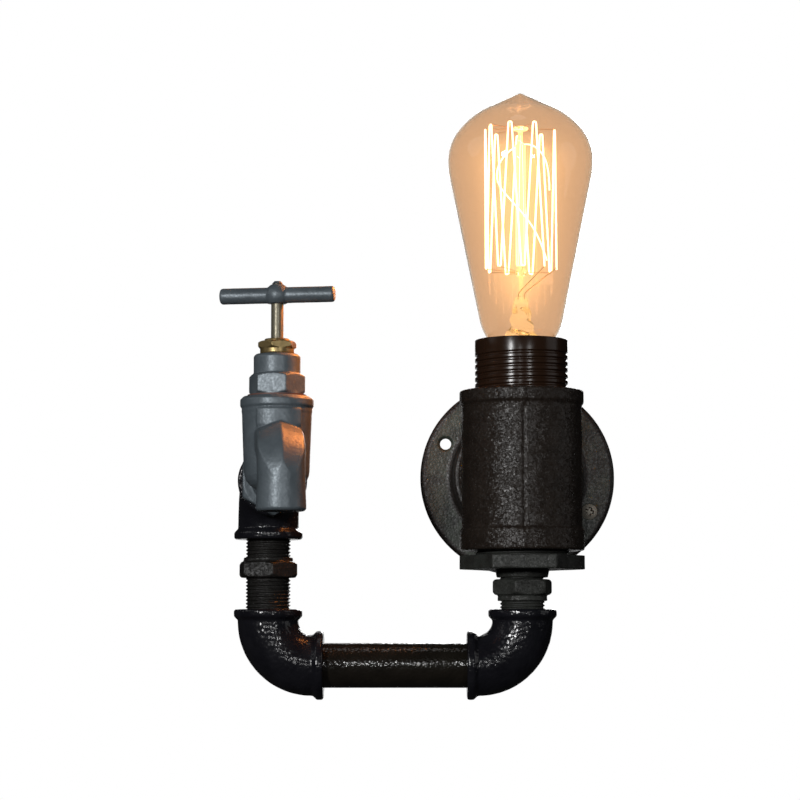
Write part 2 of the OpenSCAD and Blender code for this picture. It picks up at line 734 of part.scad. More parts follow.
// Side of a flattened bead on the rod
function squashed(z, r, share) = [for (i = [0:2 * arc_steps]) let (a = -90 + 90 * i / arc_steps)
  [max(stem_rod_r, r * cos(a)), z + r * share * sin(a)]];

module glass_stem() {
  low_z = cap_rim_z - neck_in_cap + glass_t;
  flare_r = cap_d / 2 - 2 * cap_wall - 3 * seat_gap - shell_wave - glass_t;
  funnel_h = stem_press_z - low_z - stem_press_r;
  bead_share = 0.4;
  button_share = 0.3;
  color([0.9, 0.85, 0.75, 0.6]) on_axis() rotate_extrude() polygon(concat(
    [[0, low_z]],
    [for (i = [0:arc_steps]) let (s = i / arc_steps)
      [stem_press_r + (flare_r - stem_press_r) * pow(1 - s, 2), low_z + glass_t + funnel_h * s]],
    [[stem_press_r - bevel, stem_press_z],
     [stem_rod_r, stem_press_z]],
    squashed(cage_low_z, stem_bead_r, bead_share),
    squashed(cage_top_z, stem_button_r, button_share),
    [[0, cage_top_z + stem_button_r * button_share]]));
}

// Turns of the filament: even numbers on the lower ring, odd on the upper. Each turn goes
// across its support, from side -1 to side 1, and the first and the last have one side
cage_steps = 2 * hairpins;
hook_turn = 2.6;
cage_turn = -9;
function cage_angle(i) = cage_turn + 360 * i / (cage_steps + 2);
function cage_z(i) = i % 2 == 1 ? cage_top_z : cage_low_z;
function cage_point(i, side) =
  let (a = cage_angle(i) + (i % cage_steps == 0 ? 0 : side * hook_turn))
  [cage_r * cos(a), cage_r * sin(a), cage_z(i)];

// Round wire between two points
module wire(from, to, d = wire_d) {
  v = to - from;
  translate(from) rotate([0, atan2(norm([v.x, v.y]), v.z), atan2(v.y, v.x)])
    cylinder(d = d, h = norm(v), $fn = 24);
}

module filament() {
  ball_share = 1.2;
  color([1, 0.75, 0.35]) on_axis() {
    for (i = [0:cage_steps - 1]) wire(cage_point(i, 1), cage_point(i + 1, -1));
    for (i = [1:cage_steps - 1]) {
      wire(cage_point(i, -1), cage_point(i, 1));
      for (side = [-1, 1]) translate(cage_point(i, side)) sphere(d = wire_d * ball_share, $fn = 24);
    }
  }
}

module filament_supports() {
  reach = cage_r - wire_d - seat_gap;
  color([0.7, 0.68, 0.62]) on_axis() for (i = [1:cage_steps - 1])
    let (root = (i % 2 == 1 ? stem_button_r : stem_bead_r) + seat_gap)
      translate([0, 0, cage_z(i)]) rotate([0, 90, cage_angle(i)])
        translate([0, 0, root]) cylinder(d = wire_d, h = reach - root, $fn = 24);
}

module leadin_wires() {
  start_r = stem_rod_r + wire_d + seat_gap;
  end_r = cage_r - wire_d;
  color([0.72, 0.66, 0.5]) on_axis() for (i = [0, cage_steps])
    let (a = cage_angle(i))
      wire([start_r * cos(a), start_r * sin(a), stem_press_z + wire_d / 2 + seat_gap],
           [end_r * cos(a), end_r * sin(a), cage_low_z - wire_d]);
}

module reducing_bush() {
  bore_d = pipe_d + 2 * thread_gap;
  stub_h = bush_show + tee_thread_h - seat_gap;
  recess_share = 0.78;
  color([0.2, 0.2, 0.2]) on_axis(bush_low_z) difference() {
    union() {
      cylinder(d1 = bush_boss_d - 2 * bevel, d2 = bush_boss_d, h = bush_boss_h);
      translate([0, 0, bush_boss_h]) cylinder(d = bush_hex_d, h = bush_hex_h, $fn = 6);
      translate([0, 0, bush_boss_h + bush_hex_h - bevel])
        bevelled_bar(big_thread_d, stub_h + bevel);
    }
    translate([0, 0, -cut])
      cylinder(d = bore_d, h = bush_boss_h + bush_hex_h + stub_h + 3 * cut);
    translate([0, 0, bush_boss_h + bush_hex_h])
      cylinder(d = big_thread_d * recess_share, h = stub_h + 2 * cut);
  }
}

// Hexagon nipple standing on its hexagon's lower face, with a turned collar on one side
nipple_collar_d = 25.6;
nipple_collar_h = 3;
module hex_nipple(up_h, low_h, collar_up) {
  color([0.17, 0.17, 0.17]) difference() {
    union() {
      translate([0, 0, -low_h]) bevelled_bar(pipe_d, low_h + nipple_hex_h + up_h);
      hex_block(nipple_hex_d, nipple_hex_h);
      translate([0, 0, collar_up ? nipple_hex_h - bevel : -nipple_collar_h])
        cylinder(d1 = nipple_collar_d, d2 = nipple_collar_d - bevel, h = nipple_collar_h + bevel);
    }
    translate([0, 0, -low_h - cut])
      cylinder(d = pipe_d - 2 * pipe_wall, h = low_h + nipple_hex_h + up_h + 2 * cut);
  }
}

module right_nipple() on_axis(right_hex_z) rotate(right_nipple_turn)
  hex_nipple(right_top_show + thread_reach, right_low_show + thread_reach, false);

module left_nipple() on_riser(left_hex_z) rotate(left_nipple_turn)
  hex_nipple(left_top_show + thread_reach, left_low_show + thread_reach, true);

// Elbow with its corner at the origin and its mouths toward +X and +Z
module elbow() {
  end_d = elbow_d + bevel;
  straight = elbow_len - elbow_bend_r;
  rim_r = elbow_rim_d / 2;
  rim_low_z = elbow_len - elbow_rim_h;
  rim_slope_h = 2.2;
  q = 1.3;
  module bend(d) translate([elbow_bend_r, 0, elbow_bend_r]) rotate([90, 0, 0]) rotate(180)
    rotate_extrude(angle = 90) translate([elbow_bend_r, 0]) circle(d = d);
  module each_leg() {
    children();
    rotate([0, 90, 0]) children();
  }
  color([0.07, 0.07, 0.08]) difference() {
    union() {
      bend(elbow_d);
      each_leg() {
        translate([0, 0, elbow_bend_r]) cylinder(d1 = elbow_d, d2 = end_d, h = straight);
        rotate_extrude() polygon(concat(
          [[0, rim_low_z], [end_d / 2, rim_low_z]],
          arc(rim_r - q, rim_low_z + rim_slope_h, q, -50, 0),
          arc(rim_r - q, elbow_len - q, q, 0, 90),
          [[0, elbow_len]]));
      }
    }
    bend(pipe_d - 2 * pipe_wall);
    each_leg() translate([0, 0, elbow_len - socket_h])
      cylinder(d = pipe_d + 2 * thread_gap, h = socket_h + cut);
  }
}

module right_elbow() on_axis(cross_z) rotate(180) elbow();
module left_elbow() on_riser(cross_z) elbow();
module upper_elbow() at_tap() rotate(-90) rotate([0, 90, 0]) elbow();

module cross_pipe() {
  length = riser_spacing - 2 * (elbow_len - thread_reach);
  color([0.09, 0.09, 0.1]) on_axis(cross_z) translate([-elbow_len + thread_reach, 0, 0])
    rotate([0, -90, 0]) difference() {
      bevelled_bar(pipe_d, length);
      translate([0, 0, -cut]) cylinder(d = pipe_d - 2 * pipe_wall, h = length + 2 * cut);
    }
}

// Tap values: the body's inlet, seat and ring
inlet_hex_d = 35.8;
inlet_hex_h = 8;
inlet_gap = 1.5;
inlet_bore_d = 10;
valve_well_d = 14;
well_floor = 2.4;
seat_h = 3;
seat_z = 9.7;
seat_bore_d = 11;
ring_groove_t = 0.7;
ring_lip_h = 1.3;
brow_t = 0.8;
brow_h = 8;
brow_span = 76;
spout_corner_r = 2.5;

// Half of the section of the spout's bend that carries the ridge: height above the bend's
// centreline, then sideways distance
function spout_section() =
  let (
    w = spout_d / 2, q = spout_corner_r, g = spout_ridge_slope,
    top = w + spout_ridge_h,
    h = top - (w - q) * tan(g) - q / cos(g)
  )
  concat([[0, -w]], arc(h, q - w, q, -90, -g), [[top, 0]], arc(h, w - q, q, g, 90), [[0, w]]);

module tap_barrel() {
  low_r = barrel_low_d / 2;
  ring_r = tap_ring_d / 2;
  top_z = tap_ring_z + tap_ring_h;
  rotate_extrude() polygon(concat(
    [[0, -barrel_sunk]],
    arc(low_r - barrel_round_r, -barrel_sunk + barrel_round_r, barrel_round_r, -90, 0),
    [[barrel_d / 2, tap_ring_z - ring_groove_t],
     [ring_r - ring_groove_t, tap_ring_z], [ring_r - ring_groove_t, tap_ring_z + ring_lip_h],
     [ring_r - 2 * ring_groove_t, tap_ring_z + ring_lip_h],
     [ring_r - 2 * ring_groove_t, tap_ring_z + ring_lip_h + ring_groove_t],
     [ring_r - ring_groove_t, tap_ring_z + ring_lip_h + ring_groove_t],
     [ring_r, tap_ring_z + ring_lip_h + 2 * ring_groove_t], [ring_r, top_z - 2 * bevel],
     [ring_r - bevel, top_z - bevel], [ring_r - 2 * bevel, top_z], [0, top_z]]));
}

// Swelling of the barrel between the spout and the ring
module tap_brow() {
  low_z = tap_ring_z - brow_h;
  r = barrel_d / 2;
  rotate(-90 - brow_span / 2) rotate_extrude(angle = brow_span)
    polygon([[r - brow_t, low_z - brow_t], [r, low_z - brow_t], [r + brow_t, low_z + brow_t],
             [r + brow_t, tap_ring_z + brow_t], [r - brow_t, tap_ring_z + brow_t]]);
}

module tap_body() {
  hex_y = elbow_len + inlet_gap;
  thread_start = elbow_len - thread_reach;
  bend_y = tap_reach + spout_reach - spout_bend_r;
  mouth_bevel = (spout_d - spout_bore_d) / 8;
  module round_bend() translate([0, -bend_y, spout_rise - spout_bend_r]) rotate([90, 0, -90])
    rotate_extrude(angle = 90) translate([spout_bend_r, 0]) children();
  module bend(d) round_bend() circle(d = d);
  color([0.47, 0.5, 0.54]) at_tap() difference() {
    union() {
      translate([0, -tap_reach, 0]) tap_barrel();
      translate([0, -tap_reach, 0]) tap_brow();
      intersection() {
        union() {
          round_bend() polygon(spout_section());
          translate([0, -tap_reach - valve_well_d / 2, spout_rise]) to_room()
            linear_extrude(spout_reach - spout_bend_r - valve_well_d / 2)
              rotate(90) polygon(spout_section());
        }
        translate([0, -tap_reach - spout_reach, -spout_drop]) {
          cylinder(d = spout_d, h = 2 * (spout_drop + spout_rise));
          translate([-spout_d, 0, 0]) cube([2 * spout_d, spout_reach, 2 * (spout_drop + spout_rise)]);
        }
      }
      translate([0, -thread_start, 0]) to_room()
        bevelled_bar(pipe_d, tap_reach - thread_start - valve_well_d / 2);
      translate([0, -hex_y, 0]) to_room() rotate(30) hex_block(inlet_hex_d, inlet_hex_h);
      bend(spout_d);
      translate([0, -tap_reach - valve_well_d / 2, spout_rise]) to_room()
        cylinder(d = spout_d, h = spout_reach - spout_bend_r - valve_well_d / 2);
      translate([0, -tap_reach - spout_reach, -spout_drop]) {
        translate([0, 0, mouth_bevel])
          cylinder(d1 = spout_d + mouth_bevel, d2 = spout_d,
                   h = spout_drop + spout_rise - spout_bend_r - mouth_bevel);
        cylinder(d1 = spout_d - mouth_bevel, d2 = spout_d + mouth_bevel, h = mouth_bevel);
      }
    }
    translate([0, -thread_start + cut, 0]) to_room()
      cylinder(d = inlet_bore_d, h = tap_reach - thread_start + cut);
    translate([0, -tap_reach, -barrel_sunk + well_floor])
      cylinder(d = valve_well_d, h = barrel_sunk - well_floor + seat_z - seat_h);
    translate([0, -tap_reach, 0]) cylinder(d = seat_bore_d, h = seat_z + cut);
    translate([0, -tap_reach, seat_z])
      cylinder(d = bonnet_thread_d + 2 * thread_gap, h = tap_ring_z + tap_ring_h);
    bend(spout_bore_d);
    translate([0, -tap_reach - valve_well_d / 2, spout_rise]) to_room()
      cylinder(d = spout_bore_d, h = spout_reach - spout_bend_r - valve_well_d / 2);
    translate([0, -tap_reach - spout_reach, -spout_drop - cut])
      cylinder(d = spout_bore_d, h = cut + spout_drop + spout_rise - spout_bend_r);
  }
}

// Bonnet values, upward from the body's top
washer_h = 0.8;
washer_d = 29;
bonnet_z = tap_ring_z + tap_ring_h + washer_h + 2 * seat_gap;
bonnet_top_z = bonnet_z + bonnet_hex_h + bonnet_top_h;
box_d = 12.4;
box_h = 6.9;
neck_h = 4;
packing_h = 2.8;
shaft_bore_d = spindle_d + 2 * thread_gap;

module bonnet_washer() {
  color([0.5, 0.2, 0.15]) at_spindle() translate([0, 0, tap_ring_z + tap_ring_h + seat_gap])
    tube(washer_d, bonnet_thread_d + 2 * seat_gap, washer_h);
}

module tap_bonnet() {
  stub_z = tap_ring_z + tap_ring_h - bonnet_thread_h;
  color([0.44, 0.47, 0.52]) at_spindle() difference() {
    union() {
      translate([0, 0, stub_z]) bevelled_bar(bonnet_thread_d, bonnet_z - stub_z + 2 * bevel);
      translate([0, 0, bonnet_z]) rotate(bonnet_turn) hex_block(bonnet_hex_d, bonnet_hex_h);
      translate([0, 0, bonnet_z + bonnet_hex_h - 2 * bevel])
        bevelled_bar(bonnet_top_d, bonnet_top_h + 2 * bevel, 1.5 * bevel);
    }
    translate([0, 0, stub_z - cut])
      cylinder(d = spindle_thread_d + 2 * thread_gap, h = bonnet_top_z - box_h - neck_h - stub_z + cut);
    translate([0, 0, stub_z]) cylinder(d = shaft_bore_d, h = bonnet_top_z);
    translate([0, 0, bonnet_top_z - box_h]) cylinder(d = box_d, h = box_h + cut);
  }
}

module gland_packing() {
  color([0.85, 0.83, 0.75]) at_spindle() translate([0, 0, bonnet_top_z - box_h + seat_gap])
    tube(box_d - 2 * thread_gap, shaft_bore_d, packing_h);
}

gland_collar_d = 17;
gland_collar_h = 2.8;
gland_hex_h = 3.6;
gland_bead_d = 12.6;
gland_bead_h = 1.3;
module gland_nut() {
  stub_h = box_h - packing_h - 2 * seat_gap;
  color([0.66, 0.55, 0.3]) at_spindle() translate([0, 0, bonnet_top_z]) difference() {
    union() {
      translate([0, 0, -stub_h]) bevelled_bar(box_d - 2 * thread_gap, stub_h + gland_collar_h);
      translate([0, 0, seat_gap]) bevelled_bar(gland_collar_d, gland_collar_h, bevel / 2);
      translate([0, 0, gland_collar_h]) rotate(gland_turn) hex_block(gland_hex_d, gland_hex_h);
      translate([0, 0, gland_collar_h + gland_hex_h - bevel])
        bevelled_bar(gland_bead_d, gland_bead_h + bevel, bevel / 2);
    }
    translate([0, 0, -stub_h - cut])
      cylinder(d = shaft_bore_d, h = stub_h + gland_collar_h + gland_hex_h + gland_bead_h + 2 * cut);
  }
}

// Valve values, upward from the seat
valve_washer_h = 2.7;
valve_washer_d = 16;
plate_h = 2.5;
stud_d = 3;
jumper_nut_d = 8;
jumper_nut_h = 2;
stem_d = 5;
stem_h = 8;
valve_z = seat_z + rest_gap;
plate_z = valve_z + valve_washer_h + seat_gap;
spindle_z = plate_z + plate_h + seat_gap;

module tap_jumper() {
  stud_z = valve_z - seat_gap - jumper_nut_h - bevel;
  color([0.72, 0.6, 0.34]) at_spindle() {
    translate([0, 0, stud_z]) cylinder(d = stud_d, h = plate_z - stud_z + plate_h / 2);
    translate([0, 0, plate_z]) bevelled_bar(valve_washer_d, plate_h, bevel / 2);
    translate([0, 0, plate_z + plate_h / 2]) bevelled_bar(stem_d, plate_h / 2 + stem_h, bevel / 2);
  }
}

module jumper_washer() {
  color([0.08, 0.08, 0.08]) at_spindle() translate([0, 0, valve_z])
    tube(valve_washer_d, stud_d + 2 * thread_gap, valve_washer_h);
}

module jumper_nut() {
  color([0.72, 0.6, 0.34]) at_spindle() translate([0, 0, valve_z - seat_gap - jumper_nut_h])
    difference() {
      cylinder(d = jumper_nut_d, h = jumper_nut_h, $fn = 6);
      translate([0, 0, -cut]) cylinder(d = stud_d + 2 * thread_gap, h = jumper_nut_h + 2 * cut);
    }
}

// Spindle and handle values
spindle_lift = 4.5;
tang_d = 5;
hub_r = 6.2;
hub_up = 5.7;
hub_down = 4.3;
screw_head_d = 5.4;
screw_head_h = 1.2;
screw_shank_d = 2.4;
screw_shank_h = 6;

module tap_spindle() {
  thread_top = bonnet_top_z - box_h - neck_h - spindle_lift - 2 * rest_gap;
  shoulder = handle_z - hub_down - seat_gap;
  color([0.68, 0.58, 0.36]) at_spindle() difference() {
    union() {
      translate([0, 0, spindle_z]) bevelled_bar(spindle_thread_d, thread_top - spindle_z);
      translate([0, 0, thread_top - bevel])
        cylinder(d = spindle_d, h = shoulder - thread_top + bevel);
      translate([0, 0, shoulder - bevel]) cylinder(d = tang_d, h = bevel + hub_down + hub_up);
    }
    translate([0, 0, spindle_z - cut])
      cylinder(d = stem_d + 2 * thread_gap, h = stem_h + rest_gap + cut);
    translate([0, 0, handle_z + hub_up - screw_shank_h - seat_gap])
      cylinder(d = screw_shank_d + 2 * thread_gap, h = screw_shank_h + cut);
  }
}

module tap_handle() {
  color([0.4, 0.43, 0.47]) at_spindle() translate([0, 0, handle_z]) difference() {
    union() {
      rotate([0, 0, handle_turn]) translate([-handle_len / 2, 0, 0]) rotate([0, 90, 0])
        bevelled_bar(handle_d, handle_len);
      intersection() {
        sphere(r = hub_r);
        translate([0, 0, -hub_down]) cylinder(r = 2 * hub_r, h = hub_down + hub_up);
      }
    }
    translate([0, 0, -hub_down - cut])
      cylinder(d = tang_d + 2 * thread_gap, h = hub_down + hub_up + 2 * cut);
  }
}

module handle_screw() {
  top_share = 0.6;
  color([0.42, 0.45, 0.49]) at_spindle() translate([0, 0, handle_z + hub_up + seat_gap]) {
    cylinder(d1 = screw_head_d, d2 = screw_head_d * top_share, h = screw_head_h);
    translate([0, 0, -screw_shank_h]) cylinder(d = screw_shank_d, h = screw_shank_h + screw_head_h / 2);
  }
}

wall_flange();
close_nipple();
tee();
socket_sleeve();
holder_insert();
holder_ring();
screw_shell();
centre_contact();
side_contact();
holder_screws();
live_lead();
neutral_lead();
earth_lead();
earth_lug();
earth_screw();
terminal_block();
block_clamps();
block_screws();
bulb_glass();
bulb_cap();
cap_insulator();
cap_contact();
glass_stem();
filament();
filament_supports();
leadin_wires();
reducing_bush();
right_nipple();
right_elbow();
cross_pipe();
left_elbow();
left_nipple();
upper_elbow();
tap_body();
bonnet_washer();
tap_bonnet();
gland_packing();
gland_nut();
tap_jumper();
jumper_washer();
jumper_nut();
tap_spindle();
tap_handle();
handle_screw();
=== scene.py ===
import math

import bmesh
import bpy
from mathutils import Matrix, Vector


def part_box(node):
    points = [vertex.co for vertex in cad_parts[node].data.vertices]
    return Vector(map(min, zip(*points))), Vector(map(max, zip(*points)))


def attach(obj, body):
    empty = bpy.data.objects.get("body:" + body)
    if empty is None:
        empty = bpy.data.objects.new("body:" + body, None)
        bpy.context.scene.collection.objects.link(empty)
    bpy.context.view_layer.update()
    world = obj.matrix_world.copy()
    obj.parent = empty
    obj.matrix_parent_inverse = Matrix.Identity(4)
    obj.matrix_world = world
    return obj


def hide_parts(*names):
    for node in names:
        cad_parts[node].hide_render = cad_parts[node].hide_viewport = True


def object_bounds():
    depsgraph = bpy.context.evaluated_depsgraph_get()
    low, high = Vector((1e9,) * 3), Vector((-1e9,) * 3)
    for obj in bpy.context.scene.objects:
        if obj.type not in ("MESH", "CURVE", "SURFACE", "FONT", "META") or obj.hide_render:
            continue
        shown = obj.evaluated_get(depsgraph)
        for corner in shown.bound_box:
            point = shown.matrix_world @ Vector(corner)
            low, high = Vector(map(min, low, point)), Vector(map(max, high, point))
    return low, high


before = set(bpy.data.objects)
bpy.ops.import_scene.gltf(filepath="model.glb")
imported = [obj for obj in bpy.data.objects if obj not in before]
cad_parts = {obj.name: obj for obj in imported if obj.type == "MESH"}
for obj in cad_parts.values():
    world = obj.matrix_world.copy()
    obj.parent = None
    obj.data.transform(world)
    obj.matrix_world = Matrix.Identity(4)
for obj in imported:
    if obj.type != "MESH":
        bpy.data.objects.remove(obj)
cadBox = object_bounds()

print("pipe wall light: frame loaded,", len(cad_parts), "nodes")

mm = 0.001
scene = bpy.context.scene


def linked(name, data):
    item = bpy.data.objects.new(name, data)
    scene.collection.objects.link(item)
    return item


# Camera: in front of the tap, below the bulb, tilted up a little
camera = {"place": (-0.0553, -1.361, -0.0854), "lens": 114.06, "tiltUp": 5.36, "turnLeft": 0.32}

eye = bpy.data.cameras.new("camera")
eye.lens = camera["lens"]
eye.sensor_width = 36
cameraObject = linked("camera", eye)
cameraObject.location = camera["place"]
cameraObject.rotation_euler = (math.radians(90 + camera["tiltUp"]), 0, math.radians(camera["turnLeft"]))
scene.camera = cameraObject
scene.view_settings.view_transform = "Standard"


# Node trees: small helpers that keep the trees below readable
socketKinds = {"Geometry": "NodeSocketGeometry", "Material": "NodeSocketMaterial", "Steps": "NodeSocketInt"}


def addNode(tree, kind, feeds=None, **settings):
    node = tree.nodes.new(kind)
    for name, value in settings.items():
        setattr(node, name, value)
    for key, source in (feeds or {}).items():
        socket = node.inputs[key]
        if isinstance(source, bpy.types.NodeSocket):
            tree.links.new(source, socket)
        else:
            socket.default_value = source
    return node


def newGroup(name, kind, inputs, *outputs):
    # inputs have their defaults; a socket carries a number unless socketKinds says otherwise
    tree = bpy.data.node_groups.new(name, kind)
    for way, labels in (("INPUT", inputs), ("OUTPUT", outputs)):
        for label in labels:
            socket = tree.interface.new_socket(label, in_out=way,
                                               socket_type=socketKinds.get(label, "NodeSocketFloat"))
            if way == "INPUT" and inputs[label] is not None:
                socket.default_value = inputs[label]
    return tree, tree.nodes.new("NodeGroupInput").outputs, tree.nodes.new("NodeGroupOutput").inputs


def math2(tree, operation, a, b=0.0):
    return addNode(tree, "ShaderNodeMath", {0: a, 1: b}, operation=operation).outputs[0]


def plus(tree, a, b):
    return math2(tree, "ADD", a, b)


def minus(tree, a, b):
    return math2(tree, "SUBTRACT", a, b)


def times(tree, a, b):
    return math2(tree, "MULTIPLY", a, b)


def over(tree, a, b):
    return math2(tree, "DIVIDE", a, b)


def vector(tree, operation, a, b=None, output=0):
    # b is a second vector, or the scale
    feeds = {0: a} if b is None else {0: a, "Scale" if operation == "SCALE" else 1: b}
    return addNode(tree, "ShaderNodeVectorMath", feeds, operation=operation).outputs[output]


def clamped(tree, value):
    return addNode(tree, "ShaderNodeClamp", {"Value": value}).outputs[0]


def noiseAt(tree, place, scale, detail, **more):
    return addNode(tree, "ShaderNodeTexNoise",
                   {"Vector": place, "Scale": scale, "Detail": detail, **more}).outputs


def mixColours(tree, share, a, b):
    a, b = [c if isinstance(c, bpy.types.NodeSocket) else (*c, 1) for c in (a, b)]
    return addNode(tree, "ShaderNodeMix", {0: share, 6: a, 7: b}, data_type="RGBA").outputs[2]


def rampTo(tree, value, start, end, low=0.0, high=1.0):
    # value from start to end becomes low to high, eased and held at both ends
    return addNode(tree, "ShaderNodeMapRange", {"Value": value, 1: start, 2: end, 3: low, 4: high},
                   interpolation_type="SMOOTHSTEP").outputs[0]


# Shared surface effects

def objectPlace(tree):
    return addNode(tree, "ShaderNodeTexCoord").outputs["Object"]


def lumpsAt(tree, given, place):
    lumps = noiseAt(tree, place, over(tree, 1.0, given["Lump Size"]), 1.0)[0]
    return times(tree, lumps, given["Lump Share"])


def makeCastGrain():
    # height of a sand casting under paint: pebbles, finer grit and wide lumps
    tree, given, out = newGroup(
        "castGrain", "ShaderNodeTree",
        {"Grain Size": 1.2 * mm, "Lump Size": 4 * mm, "Lump Share": 0.4, "Grit Share": 0.5}, "Height")
    place = objectPlace(tree)
    scale = over(tree, 1.0, given["Grain Size"])
    cells = addNode(tree, "ShaderNodeTexVoronoi",
                    {"Vector": place, "Scale": scale, "Smoothness": 0.35, "Randomness": 1.0},
                    feature="SMOOTH_F1")
    grit = times(tree, noiseAt(tree, place, scale, 3.0, Roughness=0.55)[0], given["Grit Share"])
    grain = plus(tree, minus(tree, 1.0, cells.outputs["Distance"]), grit)
    tree.links.new(plus(tree, grain, lumpsAt(tree, given, place)), out["Height"])
    return tree


def makeMottle():
    # two tones in soft patches, for worn or dusty paint
    tree, given, out = newGroup(
        "mottle", "ShaderNodeTree",
        {"Patch Size": 12 * mm, "Speck Size": 1.5 * mm, "Contrast": 3.0, "Balance": 0.5}, "Mask", "Specks")
    place = objectPlace(tree)
    for size, detail, name in (("Patch Size", 3.0, "Mask"), ("Speck Size", 5.0, "Specks")):
        tone = noiseAt(tree, place, over(tree, 1.0, given[size]), detail)[0]
        spread = times(tree, minus(tree, tone, given["Balance"]), given["Contrast"])
        tree.links.new(clamped(tree, plus(tree, spread, 0.5)), out[name])
    return tree


def makeRings():
    # mask of the flange's face, between its hub and its rim; outside it, the hub and the rim take painted
    # shade
    tree, given, out = newGroup(
        "rings", "ShaderNodeTree", {"Inner": 38 * mm, "Outer": 49 * mm, "Blend": 0.8 * mm}, "Face")
    parts = addNode(tree, "ShaderNodeSeparateXYZ", {0: objectPlace(tree)}).outputs
    flat = addNode(tree, "ShaderNodeCombineXYZ", {0: parts[0], 1: parts[2]}).outputs[0]
    distance = vector(tree, "LENGTH", flat, output="Value")
    sides = [clamped(tree, plus(tree, over(tree, times(tree, minus(tree, distance, given[name]), way),
                                           given["Blend"]), 0.5))
             for name, way in (("Inner", 1), ("Outer", -1))]
    tree.links.new(times(tree, *sides), out["Face"])
    return tree


def makeSandFacets():
    # height of coarse sand under thin paint: flat grains, each tilted its own way
    tree, given, out = newGroup(
        "sandFacets", "ShaderNodeTree",
        {"Grain Size": 1 * mm, "Lump Size": 4 * mm, "Lump Share": 0.5, "Raggedness": 1.1}, "Height")
    half = (0.5, 0.5, 0.5)
    place = objectPlace(tree)
    spot = vector(tree, "SCALE", place, over(tree, 1.0, given["Grain Size"]))
    drift = vector(tree, "SUBTRACT", noiseAt(tree, spot, 1.3, 1.0)["Color"], half)
    spot = vector(tree, "ADD", spot, vector(tree, "SCALE", drift, given["Raggedness"]))
    cells = addNode(tree, "ShaderNodeTexVoronoi", {"Vector": spot, "Scale": 1.0}).outputs
    offset = vector(tree, "SUBTRACT", spot, cells["Position"])
    tilt = vector(tree, "SUBTRACT", cells["Color"], half)
    facet = vector(tree, "DOT_PRODUCT", offset, tilt, "Value")
    tree.links.new(plus(tree, facet, lumpsAt(tree, given, place)), out["Height"])
    return tree


castGrain, sandFacets, mottle, rings = makeCastGrain(), makeSandFacets(), makeMottle(), makeRings()


def newMaterial(name, **settings):
    material = bpy.data.materials.new(name)
    material.use_nodes = True
    shader = material.node_tree.nodes["Principled BSDF"]
    for key, value in settings.items():
        shader.inputs[key].default_value = value
    return material, material.node_tree, shader


def useGroup(tree, group, **values):
    return addNode(tree, "ShaderNodeGroup", values, node_tree=group).outputs


def mottled(tree, patch, speck, contrast):
    return useGroup(tree, mottle, **{"Patch Size": patch, "Speck Size": speck, "Contrast": contrast})


def paint(tree, shader, colour, specks, roughness, height, relief):
    # roughness runs between its two values with the specks
    tree.links.new(colour, shader.inputs["Base Color"])
    tree.links.new(rampTo(tree, specks, 0.0, 1.0, *roughness), shader.inputs["Roughness"])
    bump = addNode(tree, "ShaderNodeBump", {"Height": height, "Distance": relief, "Strength": 1.0})
    tree.links.new(bump.outputs[0], shader.inputs["Normal"])


def castMaterial(name, dark, light, roughness, grain, lump, bump, grit=0.5, specular=0.5, metallic=0.0):
    material, tree, shader = newMaterial(name, **{"Metallic": metallic, "Specular IOR Level": specular})
    skin = useGroup(tree, castGrain, **{"Grain Size": grain, "Lump Size": lump, "Grit Share": grit})
    tone = mottled(tree, 9 * mm, 1.1 * mm, 2.4)
    paint(tree, shader, mixColours(tree, tone["Mask"], dark, light), tone["Specks"], roughness,
          skin["Height"], bump)
    return material


def plainMaterial(name, colour, roughness, metallic=0.0, noiseSize=1.5 * mm, bump=0.01 * mm, spread=0.06,
                  specular=0.5):
    material, tree, shader = newMaterial(name, **{"Metallic": metallic, "Specular IOR Level": specular})
    tone = mottled(tree, 6 * mm, noiseSize, 2.0)
    darker = [c * (1 - 2 * spread) for c in colour]
    paint(tree, shader, mixColours(tree, tone["Mask"], darker, colour), tone["Specks"],
          (roughness - spread, roughness + spread), tone["Specks"], bump)
    return material


def sandMaterial(name, dark, light, roughness, grain, relief, specular=0.4):
    material, tree, shader = newMaterial(name, **{"Specular IOR Level": specular})
    skin = useGroup(tree, sandFacets, **{"Grain Size": grain})
    tone = mottled(tree, 7 * mm, 0.9 * mm, 3.0)
    patchy = mixColours(tree, tone["Mask"], dark, light)
    paint(tree, shader, mixColours(tree, times(tree, tone["Specks"], 0.5), patchy, dark), tone["Specks"],
          roughness, skin["Height"], relief)
    return material


castBlack = sandMaterial("castBlack", (0.0118, 0.0084, 0.0064), (0.0195, 0.0146, 0.0114), (0.26, 0.4),
                         0.95 * mm, 0.38 * mm, specular=0.24)
nippleBlack = sandMaterial("nippleBlack", (0.014, 0.0142, 0.0125), (0.03, 0.0325, 0.029), (0.42, 0.56),
                           0.8 * mm, 0.3 * mm, specular=0.36)
loopBlack = sandMaterial("loopBlack", (0.0055, 0.005, 0.0043), (0.011, 0.0105, 0.0095), (0.36, 0.5),
                         0.9 * mm, 0.34 * mm, specular=0.32)
fittingBlack = castMaterial("fittingBlack", (0.005, 0.005, 0.0068), (0.009, 0.009, 0.0115), (0.14, 0.24),
                            2.1 * mm, 6 * mm, 0.2 * mm, grit=0.3, specular=0.28)
pipeBlack = castMaterial("pipeBlack", (0.006, 0.005, 0.0038), (0.011, 0.009, 0.0068), (0.12, 0.2),
                         1.7 * mm, 4 * mm, 0.17 * mm, grit=0.2, specular=0.55)
sleeveBlack = plainMaterial("sleeveBlack", (0.0195, 0.0094, 0.0052), 0.21, noiseSize=2 * mm, spread=0.03,
                            specular=0.19)
tapGrey = castMaterial("tapGrey", (0.076, 0.094, 0.107), (0.11, 0.132, 0.148), (0.4, 0.5),
                       1.6 * mm, 6 * mm, 0.07 * mm, metallic=0.32)
